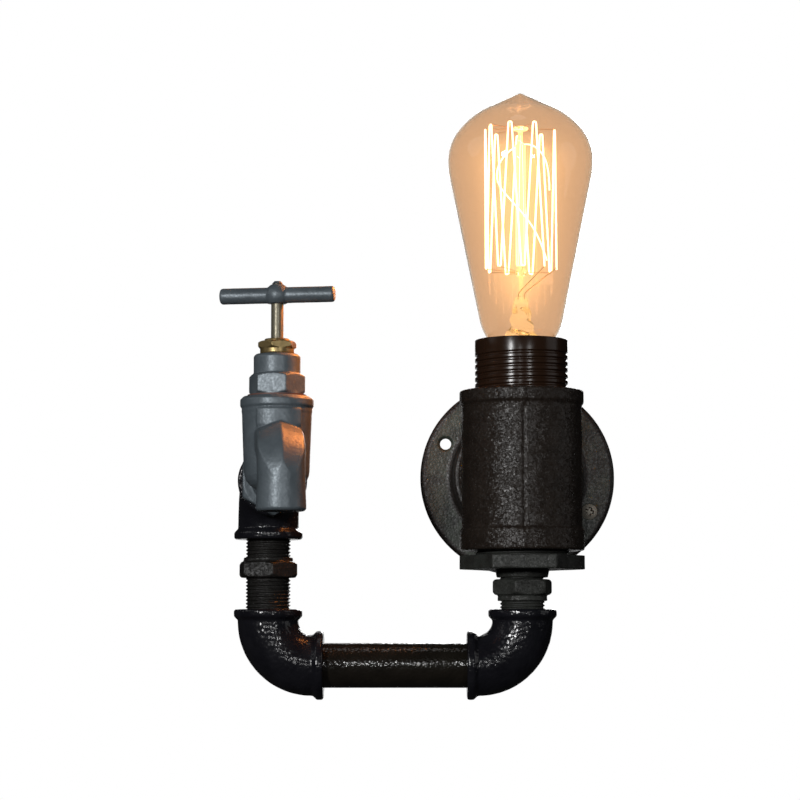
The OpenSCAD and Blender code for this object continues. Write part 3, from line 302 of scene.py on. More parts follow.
glandBrass = plainMaterial("glandBrass", (0.24, 0.175, 0.075), 0.38, 0.75, spread=0.1)
spindleBrass = plainMaterial("spindleBrass", (0.165, 0.15, 0.108), 0.4, 0.6, spread=0.08)
valveBrass = plainMaterial("valveBrass", (0.62, 0.46, 0.22), 0.3, 1.0)
contactBrass = plainMaterial("contactBrass", (0.66, 0.50, 0.26), 0.28, 1.0)
tinned = plainMaterial("tinned", (0.56, 0.56, 0.54), 0.34, 1.0)
screwSteel = plainMaterial("screwSteel", (0.22, 0.2, 0.165), 0.45, 0.4, bump=0.03 * mm)
ceramic = plainMaterial("ceramic", (0.76, 0.74, 0.68), 0.55, bump=0.03 * mm)
blockPlastic = plainMaterial("blockPlastic", (0.72, 0.72, 0.67), 0.45)
leadBrown = plainMaterial("leadBrown", (0.13, 0.055, 0.025), 0.4)
leadBlue = plainMaterial("leadBlue", (0.02, 0.09, 0.34), 0.4)
leadGreen = plainMaterial("leadGreen", (0.10, 0.30, 0.05), 0.4)
fibre = plainMaterial("fibre", (0.10, 0.045, 0.035), 0.6)
packing = plainMaterial("packing", (0.55, 0.50, 0.38), 0.75, bump=0.1 * mm)
rubber = plainMaterial("rubber", (0.02, 0.02, 0.02), 0.6)
capMetal = plainMaterial("capMetal", (0.72, 0.63, 0.42), 0.26, 1.0)
vitrite = plainMaterial("vitrite", (0.012, 0.012, 0.014), 0.15)
supportWire = plainMaterial("supportWire", (0.30, 0.2, 0.1), 0.35, 0.6)


def flangeMaterial():
    # worn grey-green face, with painted shade on the rim and the hub
    material, tree, shader = newMaterial("flangeBlack")
    tone, fine = mottled(tree, 8 * mm, 1.3 * mm, 3.2), mottled(tree, 2.2 * mm, 0.8 * mm, 2.0)
    worn = mixColours(tree, tone["Mask"], (0.016, 0.0175, 0.0145), (0.06, 0.073, 0.056))
    worn = mixColours(tree, times(tree, fine["Mask"], 0.5), worn, (0.019, 0.021, 0.0175))
    # painted shade: the hub and the rim, outside the face, are painted dark
    dark = mixColours(tree, tone["Specks"], (0.005, 0.0035, 0.0026), (0.012, 0.0085, 0.0062))
    skin = useGroup(tree, castGrain, **{"Grain Size": 1.3 * mm, "Lump Size": 7 * mm, "Lump Share": 0.6})
    paint(tree, shader, mixColours(tree, useGroup(tree, rings)["Face"], dark, worn), tone["Specks"],
          (0.4, 0.6), skin["Height"], 0.16 * mm)
    return material


flangeBlack = flangeMaterial()


def glassMaterial(name, tint, ior, glow=None, paintedGlowStrength=0.0):
    # clear glass that lets the lamps' light through to what is behind it; glow, if given, is a painted glow,
    # as if the filament lit the glass
    material, tree, shader = newMaterial(name, **{
        "Roughness": 0.0, "IOR": ior, "Transmission Weight": 1.0, "Base Color": (*tint, 1)})
    if glow:
        shader.inputs["Emission Color"].default_value = (*glow, 1)
        shader.inputs["Emission Strength"].default_value = paintedGlowStrength
    clear = addNode(tree, "ShaderNodeBsdfTransparent", {"Color": (*[c ** 0.5 for c in tint], 1)})
    path = addNode(tree, "ShaderNodeLightPath")
    mix = addNode(tree, "ShaderNodeMixShader",
                  {0: path.outputs["Is Shadow Ray"], 1: shader.outputs[0], 2: clear.outputs[0]})
    tree.links.new(mix.outputs[0], tree.nodes["Material Output"].inputs["Surface"])
    return material


amberGlass = glassMaterial("amberGlass", (0.815, 0.62, 0.455), 1.32)
# the stem's glass and the rod's glass carry a painted glow, as if lit by the filament
stemGlass = glassMaterial("stemGlass", (0.99, 0.95, 0.84), 1.45, (1.0, 0.72, 0.32), 0.2)
rodGlass = glassMaterial("rodGlass", (0.98, 0.92, 0.68), 1.3, (1.0, 0.8, 0.4), 0.7)


def makePaintedGlowBand():
    # painted glow: the share of the filament's light that the glass is painted with at each height
    tree, given, out = newGroup(
        "paintedGlowBand", "ShaderNodeTree", {"Low": 70 * mm, "High": 190 * mm, "Blend": 34 * mm}, "Mask")
    height = addNode(tree, "ShaderNodeSeparateXYZ", {0: objectPlace(tree)}).outputs[2]
    rise = rampTo(tree, height, given["Low"], plus(tree, given["Low"], given["Blend"]))
    fall = rampTo(tree, height, minus(tree, given["High"], given["Blend"]), given["High"])
    tree.links.new(minus(tree, rise, fall), out["Mask"])
    return tree


# painted glow on the amber glass, standing in for the filament's light: only in the filament's height band,
# and strongest where the glass faces the eye
glassTree = amberGlass.node_tree
glassShader = glassTree.nodes["Principled BSDF"]
facing = addNode(glassTree, "ShaderNodeLayerWeight", {"Blend": 0.5}).outputs["Facing"]
paintedGlowFacing = math2(glassTree, "POWER", minus(glassTree, 1.0, facing), 9.0)
share = times(glassTree, useGroup(glassTree, makePaintedGlowBand())["Mask"], paintedGlowFacing)
glassTree.links.new(mixColours(glassTree, share, (0.003, 0.002, 0.001), (0.27, 0.15, 0.05)),
                    glassShader.inputs["Emission Color"])
glassShader.inputs["Emission Strength"].default_value = 1.0

filamentGlow = newMaterial("filamentGlow", **{
    "Base Color": (0.9, 0.7, 0.4, 1), "Emission Color": (1.0, 0.86, 0.7, 1), "Emission Strength": 3.4})[0]
print("pipe wall light: materials made")


# Meshes

def newPiece(name, mesh, material, body=None, slotName=None, *nodes):
    piece = linked(name, mesh)
    mesh.materials.clear()
    mesh.materials.append(material)
    if body:
        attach(piece, body)
    if nodes:
        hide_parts(*nodes)
    return piece


def smooth(mesh, angle=None):
    for face in mesh.polygons:
        face.use_smooth = True
    if angle is not None:
        mesh.set_sharp_from_angle(angle=math.radians(angle))
    return mesh


def arcPoints(x, y, r, start, end, steps):
    angles = [math.radians(start + (end - start) * i / steps) for i in range(steps + 1)]
    return [(x + r * math.cos(a), y + r * math.sin(a)) for a in angles]


def around(centre, radius, angle, z):
    # the point at an angle, in radians, round an upright axis
    return centre[0] + radius * math.cos(angle), centre[1] + radius * math.sin(angle), z


def addFace(built, corners):
    # a corner that comes twice counts once, where a row ends in a point or level
    face = list(dict.fromkeys(corners))
    if len(face) > 2:
        built.faces.new(face)


def turned(outline, centre, steps=128, closed=True):
    # closed solid of revolution about an upright axis; outline is (radius, height) pairs
    built = bmesh.new()
    rows = []
    for radius, height in outline:
        count, radius = (1, 0.0) if radius < 1e-7 else (steps, radius)
        rows.append([built.verts.new(around(centre, radius, 2 * math.pi * i / steps, height))
                     for i in range(count)])
    loop = closed and len(rows[0]) > 1
    for low, high in list(zip(rows, rows[1:])) + ([(rows[-1], rows[0])] if loop else []):
        for i in range(steps):
            j = (i + 1) % steps
            addFace(built, [low[i % len(low)], low[j % len(low)], high[j % len(high)], high[i % len(high)]])
    bmesh.ops.recalc_face_normals(built, faces=built.faces)
    return built


def asMesh(name, built):
    mesh = bpy.data.meshes.new(name)
    built.to_mesh(mesh)
    built.free()
    return mesh


def cadCopy(node):
    built = bmesh.new()
    built.from_mesh(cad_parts[node].data)
    bmesh.ops.remove_doubles(built, verts=built.verts, dist=0.002 * mm)
    return built


def joinMeshes(name, *meshes):
    whole = bmesh.new()
    for mesh in meshes:
        whole.from_mesh(mesh)
    return asMesh(name, whole)


def evaluatedMesh(item):
    # the mesh that an object's modifiers or curve make; the object itself goes
    made = bpy.data.meshes.new_from_object(item.evaluated_get(bpy.context.evaluated_depsgraph_get()))
    bpy.data.objects.remove(item)
    return made


def pushed(tree, given, direction, distance):
    return addNode(tree, "GeometryNodeSetPosition", {
        "Geometry": given["Geometry"], "Offset": vector(tree, "SCALE", direction, distance)}).outputs[0]


def dress(tree, given, out, geometry):
    # every tree ends with smooth shading, one real mesh and one material
    shaded = addNode(tree, "GeometryNodeSetShadeSmooth", {"Geometry": geometry})
    whole = addNode(tree, "GeometryNodeRealizeInstances", {"Geometry": shaded.outputs[0]})
    dressed = addNode(tree, "GeometryNodeSetMaterial",
                      {"Geometry": whole.outputs[0], "Material": given["Material"]})
    tree.links.new(dressed.outputs[0], out["Geometry"])
    return tree


# Casting skin: lumps pushed along the normals, for pieces that came out of a sand mould
def makeSkinTree():
    tree, given, out = newGroup(
        "castingSkin", "GeometryNodeTree",
        {"Geometry": None, "Lump Size": 3 * mm, "Lump Height": 0.1 * mm, "Sag Size": 14 * mm,
         "Sag Height": 0.1 * mm, "Seed": 0.0, "Material": None}, "Geometry")
    place = addNode(tree, "GeometryNodeInputPosition").outputs[0]
    moves = []
    for size, height in (("Lump Size", "Lump Height"), ("Sag Size", "Sag Height")):
        noise = addNode(tree, "ShaderNodeTexNoise",
                        {"Vector": place, "Scale": over(tree, 1.0, given[size]), "W": given["Seed"],
                         "Detail": 1.0}, noise_dimensions="4D").outputs[0]
        moves.append(times(tree, minus(tree, noise, 0.5), given[height]))
    normal = addNode(tree, "GeometryNodeInputNormal").outputs[0]
    return dress(tree, given, out, pushed(tree, given, normal, plus(tree, *moves)))


# Thread: a right-hand helical groove cut into everything that lies outside a radius
def makeThreadTree():
    tree, given, out = newGroup(
        "threadCut", "GeometryNodeTree",
        {"Geometry": None, "Axis X": 0.0, "Axis Y": 0.0, "From Radius": 10 * mm, "Pitch": 1.8 * mm,
         "Depth": 0.8 * mm, "Low": 0.0, "High": 10 * mm, "Fade": 1 * mm, "Crest End": 0.06,
         "Root Start": 0.44, "Root End": 0.56, "Crest Start": 0.94, "Material": None}, "Geometry")
    place = addNode(tree, "GeometryNodeInputPosition").outputs[0]
    x, y, height = addNode(tree, "ShaderNodeSeparateXYZ", {0: place}).outputs
    dx, dy = minus(tree, x, given["Axis X"]), minus(tree, y, given["Axis Y"])
    outward = addNode(tree, "ShaderNodeCombineXYZ", {0: dx, 1: dy}).outputs[0]
    radius = vector(tree, "LENGTH", outward, output="Value")
    turns = over(tree, math2(tree, "ARCTAN2", dy, dx), 2 * math.pi)
    phase = math2(tree, "FRACT", minus(tree, over(tree, height, given["Pitch"]), turns))
    groove = minus(tree, rampTo(tree, phase, given["Crest End"], given["Root Start"]),
                   rampTo(tree, phase, given["Root End"], given["Crest Start"]))
    start = rampTo(tree, height, given["Low"], plus(tree, given["Low"], given["Fade"]))
    end = rampTo(tree, height, minus(tree, given["High"], given["Fade"]), given["High"])
    outside = rampTo(tree, radius, minus(tree, given["From Radius"], 0.1 * mm), given["From Radius"])
    cut = times(tree, groove, times(tree, outside, minus(tree, start, end)))
    depth = times(tree, times(tree, cut, given["Depth"]), -1.0)
    return dress(tree, given, out, pushed(tree, given, vector(tree, "NORMALIZE", outward), depth))


skinTree, threadTree = makeSkinTree(), makeThreadTree()


def grownMesh(name, tree, mesh=None, **values):
    # runs a Geometry Nodes tree once and keeps its result as a plain mesh
    source = linked(name, mesh or bpy.data.meshes.new(name))
    modifier = source.modifiers.new(tree.name, "NODES")
    modifier.node_group = tree
    for item in tree.interface.items_tree:
        if item.item_type == "SOCKET" and item.in_out == "INPUT" and item.name in values:
            modifier[item.identifier] = values[item.name]
    return evaluatedMesh(source)


def fused(name, solid, grid, rounding=2):
    # one closed skin round overlapping solids, with its edges a little rounded, as cast or painted
    source = linked(name, asMesh(name, solid))
    remesh = source.modifiers.new("skin", "REMESH")
    remesh.mode, remesh.voxel_size = "VOXEL", grid
    soften = source.modifiers.new("soften", "SMOOTH")
    soften.factor, soften.iterations = 0.5, rounding
    return evaluatedMesh(source)


def castSkin(name, skin, material, lump, lumpHeight, sag=14 * mm, sagHeight=0.15 * mm, seed=0.0):
    return grownMesh(name, skinTree, skin, **{
        "Lump Size": lump, "Lump Height": lumpHeight, "Sag Size": sag, "Sag Height": sagHeight,
        "Seed": seed, "Material": material})


# CAD nodes that stay as they are get their finish here
nodeFinishes = {
    "holder_insert": ceramic, "holder_ring": valveBrass, "screw_shell": tinned,
    "centre_contact": contactBrass, "side_contact": contactBrass, "holder_screws": contactBrass,
    "live_lead": leadBrown, "neutral_lead": leadBlue, "earth_lead": leadGreen, "earth_lug": tinned,
    "earth_screw": contactBrass, "terminal_block": blockPlastic, "block_clamps": contactBrass,
    "block_screws": tinned, "cap_insulator": vitrite, "cap_contact": tinned, "cross_pipe": pipeBlack,
    "bonnet_washer": fibre, "gland_packing": packing, "tap_jumper": valveBrass, "jumper_washer": rubber,
    "jumper_nut": valveBrass, "tap_spindle": spindleBrass, "handle_screw": tapGrey,
}
for node, finish in nodeFinishes.items():
    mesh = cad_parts[node].data
    mesh.materials.clear()
    mesh.materials.append(finish)


# Castings whose form is the CAD solid's: voxel grid, then the lumps' size and height, in mm
castings = {
    "wall_flange": ("flangePlate", flangeBlack, "flange_black", 0.55, 2.6, 0.12),
    "tee": ("teeCasting", castBlack, "cast_black", 0.7, 2.4, 0.14),
    "right_elbow": ("rightElbow", fittingBlack, "fitting_black", 0.42, 2.8, 0.2),
    "left_elbow": ("leftElbow", fittingBlack, "fitting_black", 0.42, 2.8, 0.2),
    "upper_elbow": ("upperElbow", fittingBlack, "fitting_black", 0.42, 2.8, 0.2),
    "tap_body": ("tapBody", tapGrey, "tap_grey", 0.5, 3.0, 0.12),
    "tap_bonnet": ("tapBonnet", tapGrey, "tap_grey", 0.4, 3.0, 0.06),
    "gland_nut": ("glandNut", glandBrass, "gland_brass", 0.22, 3.0, 0.04),
}


def held(value, low=0.0, high=1.0):
    return min(high, max(low, value))


def keepInside(mesh, node):
    # the grown skin stays inside its solid's box
    low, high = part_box(node)
    for vertex in mesh.vertices:
        for k in range(3):
            vertex.co[k] = held(vertex.co[k], low[k], high[k])


# the mould's parting line runs down the tee's front, between its bands
seam = {"depth": 1.25 * mm, "width": 0.8 * mm, "behind": 75 * mm, "ends": 8 * mm, "fade": 2 * mm}
for count, (node, (name, finish, slotName, grid, lump, height)) in enumerate(castings.items()):
    skin = fused(name, cadCopy(node), grid * mm)
    if node == "tee":
        low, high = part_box(node)
        for vertex in skin.vertices:
            if vertex.co.y < -seam["behind"]:
                inside = min(vertex.co.z - low.z, high.z - vertex.co.z) - seam["ends"]
                share = held(inside / seam["fade"])
                vertex.co.y += share * seam["depth"] * math.exp(-(vertex.co.x / seam["width"]) ** 2)
    mesh = castSkin(name, skin, finish, lump * mm, height * mm, seed=3.0 * count)
    keepInside(mesh, node)
    newPiece(name, mesh, finish, "fixture", slotName, node)
    print("pipe wall light:", name, len(mesh.polygons), "faces")

handle = {"grid": 0.32 * mm, "rounding": 14}
handleSkin = {"lump": 3 * mm, "lumpHeight": 0.16 * mm, "seed": 50.0}
skin = fused("tapHandle", cadCopy("tap_handle"), **handle)
mesh = castSkin("tapHandle", skin, tapGrey, **handleSkin)
newPiece("tapHandle", mesh, tapGrey, "spindle", "tap_grey", "tap_handle")


# Upright threads: rows of mesh to one pitch, and the length over which an end fades

pipeThread = {"pitch": 1.814 * mm, "depth": 0.75 * mm, "perPitch": 12, "fade": 1.2 * mm}
bigThread = {"pitch": 2.309 * mm, "depth": 1.0 * mm, "perPitch": 12, "fade": 1.4 * mm}


def helixWall(built, centre, radius, low, high, thread, steps):
    # tube wall whose rows climb with the thread, and end level at both ends
    perPitch = thread["perPitch"]
    rise = thread["pitch"] / perPitch
    known = {}

    def corner(row, i):
        z = held(low + (row - perPitch) * rise + thread["pitch"] * i / steps, low, high)
        key = (i, round(z / mm, 5))
        if key not in known:
            known[key] = built.verts.new(around(centre, radius, 2 * math.pi * i / steps, z))
        return known[key]

    for row in range(math.ceil((high - low) / rise) + perPitch):
        for i in range(steps):
            # the last column joins the first one, a pitch higher
            beside, j = (row, i + 1) if i < steps - 1 else (row + perPitch, 0)
            addFace(built, [corner(row, i), corner(beside, j), corner(beside + 1, j), corner(row + 1, i)])


def threadedTube(name, centre, outer, profile, low, high, thread, material, steps=160):
    # profile closes the tube from the top of its threaded wall round to the bottom, as (radius, height)
    built = turned([(outer, high)] + profile + [(outer, low)], centre, steps, closed=False)
    helixWall(built, centre, outer, low, high, thread, steps)
    bmesh.ops.remove_doubles(built, verts=built.verts, dist=0.0005 * mm)
    bmesh.ops.recalc_face_normals(built, faces=built.faces)
    return grownMesh(name, threadTree, asMesh(name, built), **{
        "Axis X": centre[0], "Axis Y": centre[1], "From Radius": outer - 0.05 * mm,
        "Pitch": thread["pitch"], "Depth": thread["depth"], "Low": low, "High": high,
        "Fade": thread["fade"], "Material": material, **thread.get("shape", {})})


def pipeEnd(name, centre, outer, inner, low, high, thread, material, bevel=0.4 * mm):
    profile = [(outer - bevel, high + bevel), (inner, high + bevel),
               (inner, low - bevel), (outer - bevel, low - bevel)]
    return threadedTube(name, centre, outer, profile, low, high, thread, material)


def slimmed(mesh, centre, radius, low, high):
    # draws the plain shank in, so that the threaded tube round it is what shows
    for vertex in mesh.vertices:
        away = Vector((vertex.co.x - centre[0], vertex.co.y - centre[1]))
        if (vertex.co.z < low or vertex.co.z > high) and away.length > radius:
            away *= radius / away.length
            vertex.co.x, vertex.co.y = centre[0] + away.x, centre[1] + away.y
    return mesh


def axisOf(node):
    low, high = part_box(node)
    return ((low.x + high.x) / 2, (low.y + high.y) / 2), low.z, high.z


# Fittings with a hexagon between threads. Its heights are from the node's lower end, in mm.
nipple = {"thread": pipeThread, "radius": 11.4 * mm, "inner": 9.4 * mm, "gap": 0.2 * mm,
          "lumpHeight": 0.1 * mm, "sag": 9 * mm, "sagHeight": 0.1 * mm, "seed": 0.0}
fittings = {
    "right_nipple": {**nipple, "name": "rightNipple", "slot": "cast_black", "finish": nippleBlack,
                     "hexLow": 16.3, "hexHigh": 27.3},
    "left_nipple": {**nipple, "name": "leftNipple", "slot": "fitting_black", "finish": loopBlack,
                    "hexLow": 28.1, "hexHigh": 38.3},
    # the bush has a thread only above its hexagon
    "reducing_bush": {"name": "reducingBush", "slot": "cast_black", "finish": nippleBlack,
                      "hexLow": -math.inf, "hexHigh": 11.3, "thread": bigThread, "radius": 23.95 * mm,
                      "inner": 19.5 * mm, "gap": 0.3 * mm, "lumpHeight": 0.12 * mm, "sag": 12 * mm,
                      "sagHeight": 0.15 * mm, "seed": 9.0},
}
threadEnd, hexOverlap = 0.5 * mm, 1 * mm
for node, f in fittings.items():
    name, finish = f["name"], f["finish"]
    centre, low, high = axisOf(node)
    hexLow, hexHigh = low + f["hexLow"] * mm, low + f["hexHigh"] * mm
    skin = slimmed(fused(name, cadCopy(node), 0.5 * mm), centre,
                   f["radius"] - f["thread"]["depth"] - f["gap"], hexLow, hexHigh)
    meshes = [castSkin(name, skin, finish, 2 * mm, f["lumpHeight"], f["sag"], f["sagHeight"], f["seed"])]
    for start, stop in ((low + threadEnd, hexLow + hexOverlap), (hexHigh - hexOverlap, high - threadEnd)):
        if start < stop:
            meshes.append(pipeEnd(name + "Thread", centre, f["radius"], f["inner"], start, stop,
                                  f["thread"], finish))
    newPiece(name, smooth(joinMeshes(name, *meshes)), finish, "fixture", f["slot"], node)
print("pipe wall light: nipples and bush made")


# Close nipple behind the tee: made upright, then laid toward the wall
closeBore = 20 * mm
closeLow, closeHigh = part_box("close_nipple")
tube = pipeEnd("closeNipple", (0, 0), (closeHigh.x - closeLow.x) / 2, closeBore,
               -closeHigh.y + threadEnd, -closeLow.y - threadEnd, bigThread, nippleBlack)
tube.transform(Matrix.Rotation(math.radians(90), 4, "X"))
newPiece("closeNipple", tube, nippleBlack, "fixture", "flange_black", "close_nipple")


# Lampholder sleeve: smooth band over a coarse thread, with the same bores as the solid
sleeve = {
    "thread": {"pitch": 3.26 * mm, "depth": 0.8 * mm, "perPitch": 24, "fade": 0.5 * mm,
               "shape": {"Crest End": 0.1, "Root Start": 0.3, "Root End": 0.5, "Crest Start": 0.7}},
    "band": 6 * mm, "mouth": 20.5 * mm, "bore": 21 * mm, "shoulder": 17 * mm,
    "insertTop": 57.1 * mm, "shoulderTop": 59.2 * mm, "bevel": 0.5 * mm,
}
centre, low, high = axisOf("socket_sleeve")
sleeveLow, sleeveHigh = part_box("socket_sleeve")
outer = (sleeveHigh.x - sleeveLow.x) / 2
bevel = sleeve["bevel"]
profile = arcPoints(outer - bevel, high - bevel, bevel, 0, 90, 5)
profile += arcPoints(sleeve["mouth"] + bevel, high - bevel, bevel, 90, 180, 5)
profile += [(sleeve["mouth"], sleeve["shoulderTop"]), (sleeve["shoulder"], sleeve["shoulderTop"]),
            (sleeve["shoulder"], sleeve["insertTop"]), (sleeve["bore"], sleeve["insertTop"]),
            (sleeve["bore"], low), (outer - bevel, low)]
tube = threadedTube("lampholderSleeve", centre, outer, profile, low + bevel, high - sleeve["band"],
                    sleeve["thread"], sleeveBlack, steps=180)
newPiece("lampholderSleeve", smooth(tube, 45), sleeveBlack, "fixture", "sleeve_plastic", "socket_sleeve")
print("pipe wall light: sleeve made")


# Bulb: one glass wall of even thickness, drawn as arcs and straights from neck to tip
bulb = {
    "wideZ": 94.2 * mm, "radius": 37.6 * mm, "domeHeight": 31.1 * mm, "shoulder": 25 * mm,
    "sideCurve": 50 * mm, "lean": 11.6, "neckZ": 6 * mm, "capRim": 5.4 * mm, "neckInCap": 4 * mm,
    "endRadius": 13.65 * mm, "innerNeck": 11.7 * mm, "tipSlope": 26, "tipRadius": 3.4 * mm, "wall": 0.9 * mm,
    "neckBend": 5 * mm, "bendSteps": 10, "arcSteps": 16,
}
bulbCentre, bulbLow, bulbHigh = axisOf("bulb_glass")
mouth = sleeveHigh.z


def bulbSide(inset):
    b = bulb
    wide = mouth + b["wideZ"]
    lean, slope = math.radians(b["lean"]), math.radians(b["tipSlope"])
    leanZ = wide - b["sideCurve"] * math.sin(lean)
    leanR = b["radius"] - b["sideCurve"] * (1 - math.cos(lean))
    neckR = leanR - (leanZ - mouth - b["neckZ"]) * math.tan(lean)
    rimZ = mouth - b["capRim"]
    rise = math.atan2(mouth + b["neckZ"] - rimZ, neckR - b["endRadius"])
    gap, k = b["radius"] - b["shoulder"], b["shoulder"]
    h = (gap ** 2 - (b["domeHeight"] - k) ** 2) / (2 * (b["domeHeight"] - k))
    domeR = b["domeHeight"] + h
    meet = math.degrees(math.atan2(h, gap))
    tipZ = wide - h + (domeR - b["tipRadius"]) / math.cos(slope)
    top = 90 - b["tipSlope"]
    # the neck turns in over a wide curve
    corner = Vector((neckR - inset, mouth + b["neckZ"]))
    foot = Vector((b["endRadius"] - inset * math.sin(rise), rimZ + inset * math.cos(rise)))
    start = corner + (foot - corner).normalized() * b["neckBend"]
    end = corner + Vector((math.sin(lean), math.cos(lean))) * b["neckBend"]
    side = [foot]
    for i in range(b["bendSteps"] + 1):
        t = i / b["bendSteps"]
        side.append(start * (1 - t) ** 2 + corner * 2 * t * (1 - t) + end * t * t)
    steps = b["arcSteps"]
    side += arcPoints(b["radius"] - b["sideCurve"], wide, b["sideCurve"] - inset, -b["lean"], 0, steps)
    side += arcPoints(gap, wide, k - inset, 0, meet, steps)
    side += arcPoints(0, wide - h, domeR - inset, meet, top, steps)
    side += arcPoints(0, tipZ, b["tipRadius"] - inset, top, 90, steps // 2)
    return [(max(0.0, p[0]), p[1]) for p in side]


innerSide, outerSide = bulbSide(bulb["wall"]), bulbSide(0)
neckZ = mouth - bulb["capRim"] - bulb["neckInCap"]
thinNeck = bulb["innerNeck"] - bulb["wall"]
outline = [(0.0, outerSide[-1][1])] + outerSide[-2::-1]
outline += [(bulb["innerNeck"], mouth - bulb["capRim"]), (bulb["innerNeck"], neckZ), (thinNeck, neckZ),
            (thinNeck, mouth - bulb["capRim"])] + innerSide[:-1] + [(0.0, innerSide[-1][1])]
glass = smooth(asMesh("bulbGlass", turned(outline, bulbCentre, 192)), 50)
bulbPiece = newPiece("bulbGlass", glass, amberGlass, "bulb", "amber_glass", "bulb_glass")


# Stem: funnel drawn in to a pinched press, rod, and a column with a painted glow between the two rings of
# supports
cage = {"radius": 18.4 * mm, "low": 104.25 * mm, "top": 178.3 * mm, "steps": 16, "turn": -9, "hookTurn": 2.6,
        "wire": 0.95 * mm}
stem = {"press": 22.6 * mm, "pressRadius": 3.7 * mm, "pressHeight": 3 * mm, "edge": 1.6 * mm,
        "pinch": 2.6, "pinchReach": 7 * mm, "flare": 10.4 * mm, "rod": 1.2 * mm, "column": 2.6 * mm,
        "columnEnd": 7 * mm,
        "bead": 3 * mm, "button": 4.2 * mm, "buttonFlat": 0.35, "taper": 1.25, "rows": 32,
        "swirl": 0.17, "lobes": 4, "twist": 9, "waves": 0.12, "waveCount": 4}
stemLow = neckZ + bulb["wall"]
pressZ = mouth + stem["press"]
funnel = [(0.0, stemLow + 1 * mm), (stem["flare"] - 0.8 * mm, stemLow), (stem["flare"], stemLow)]
for i in range(1, stem["rows"] + 1):
    s = i / stem["rows"]
    funnel.append((stem["pressRadius"] + (stem["flare"] - stem["pressRadius"]) * (1 - s) ** stem["taper"],
                   stemLow + 0.5 * mm + (pressZ - stemLow - stem["pressHeight"]) * s))
funnel += arcPoints(stem["pressRadius"] - stem["edge"], pressZ - stem["edge"], stem["edge"], 0, 90, 5)
funnel += [(stem["rod"], pressZ + 0.4 * mm), (stem["rod"], cage["low"] - 3 * mm)]
funnel += arcPoints(0, cage["low"] - 1.4 * mm, stem["bead"], -60, 60, 8)
funnel += [(stem["rod"] + 0.3 * mm, cage["low"] + 1.6 * mm), (0.0, cage["low"] + 1.8 * mm)]
funnelMesh = turned(funnel, bulbCentre, 96)
for vertex in funnelMesh.verts:
    # the press is pinched flat, front to back, and the funnel's wall is rippled
    share = max(0.0, 1 - abs(vertex.co.z - (pressZ - stem["pressHeight"])) / stem["pinchReach"])
    flat = 1 + (stem["pinch"] - 1) * share * share
    climb = (vertex.co.z - stemLow) / (pressZ - stemLow)
    x, y = vertex.co.x - bulbCentre[0], vertex.co.y - bulbCentre[1]
    turn = stem["lobes"] * math.atan2(y, x) + stem["twist"] * climb
    wave = 2 * math.pi * stem["waveCount"] * climb + turn / 4
    ripple = stem["swirl"] * math.sin(turn) + stem["waves"] * math.sin(wave)
    ripple = 1 + ripple * max(0.0, math.sin(math.pi * min(1.0, climb)))
    vertex.co.x, vertex.co.y = bulbCentre[0] + x * ripple, bulbCentre[1] + y * ripple / flat
newPiece("glassStem", smooth(asMesh("glassStem", funnelMesh), 60), stemGlass,
         "bulb", "stem_glass", "glass_stem")

columnTop = cage["top"] - stem["columnEnd"]
column = [(0.0, cage["low"] + 2 * mm), (stem["column"] - 0.4 * mm, cage["low"] + 2 * mm),
          (stem["column"], cage["low"] + 2.4 * mm), (stem["column"], columnTop - 2 * mm),
          (stem["rod"], columnTop), (stem["rod"], cage["top"] - 2 * mm)]
column += [(r, cage["top"] + (z - cage["top"]) * stem["buttonFlat"])
           for r, z in arcPoints(0, cage["top"], stem["button"], -70, 90, 14)]
column[-1] = (0.0, column[-1][1])
newPiece("glassColumn", smooth(asMesh("glassColumn", turned(column, bulbCentre, 64)), 50), rodGlass,
         "bulb", "stem_glass")


# Filament: a zig-zag between the two rings, its turns numbered as in the solid
def makeCageTree():
    tree, given, out = newGroup(
        "zigzagCage", "GeometryNodeTree",
        {"Steps": 16, "Radius": 18 * mm, "Low": 0.0, "High": 70 * mm, "Axis Y": 0.0, "Turn": 0.0,
         "Hook Turn": 0.04, "Wire Radius": 0.5 * mm, "Sag": 0.6 * mm, "Seed": 0.0, "Material": None},
        "Geometry")
    line = addNode(tree, "GeometryNodeMeshLine", {"Count": times(tree, given["Steps"], 2.0)})
    index = addNode(tree, "GeometryNodeInputIndex").outputs[0]
    step = math2(tree, "FLOOR", over(tree, plus(tree, index, 1.0), 2.0))
    side = minus(tree, 1.0, times(tree, math2(tree, "MODULO", index, 2.0), 2.0))
    part = over(tree, 2 * math.pi, plus(tree, given["Steps"], 2.0))
    angle = plus(tree, given["Turn"], times(tree, step, part))
    angle = plus(tree, angle, times(tree, side, given["Hook Turn"]))
    reach = minus(tree, given["High"], given["Low"])
    wobble = addNode(tree, "ShaderNodeTexWhiteNoise", {"W": plus(tree, step, given["Seed"])},
                     noise_dimensions="1D").outputs[0]
    sag = times(tree, minus(tree, wobble, 0.5), given["Sag"])
    height = plus(tree, given["Low"], times(tree, math2(tree, "MODULO", step, 2.0), reach))
    x = times(tree, math2(tree, "COSINE", angle), given["Radius"])
    y = plus(tree, times(tree, math2(tree, "SINE", angle), given["Radius"]), given["Axis Y"])
    place = addNode(tree, "ShaderNodeCombineXYZ", {0: x, 1: y, 2: plus(tree, height, sag)})
    placed = addNode(tree, "GeometryNodeSetPosition",
                     {"Geometry": line.outputs[0], "Position": place.outputs[0]})
    curve = addNode(tree, "GeometryNodeMeshToCurve", {"Mesh": placed.outputs[0]})
    bent = addNode(tree, "GeometryNodeFilletCurve",
                   {"Curve": curve.outputs[0], "Radius": 0.7 * mm, "Count": 3}, mode="POLY")
    circle = addNode(tree, "GeometryNodeCurvePrimitiveCircle",
                     {"Resolution": 12, "Radius": given["Wire Radius"]})
    wire = addNode(tree, "GeometryNodeCurveToMesh",
                   {"Curve": bent.outputs[0], "Profile Curve": circle.outputs[0], "Fill Caps": True})
    return dress(tree, given, out, wire.outputs[0])


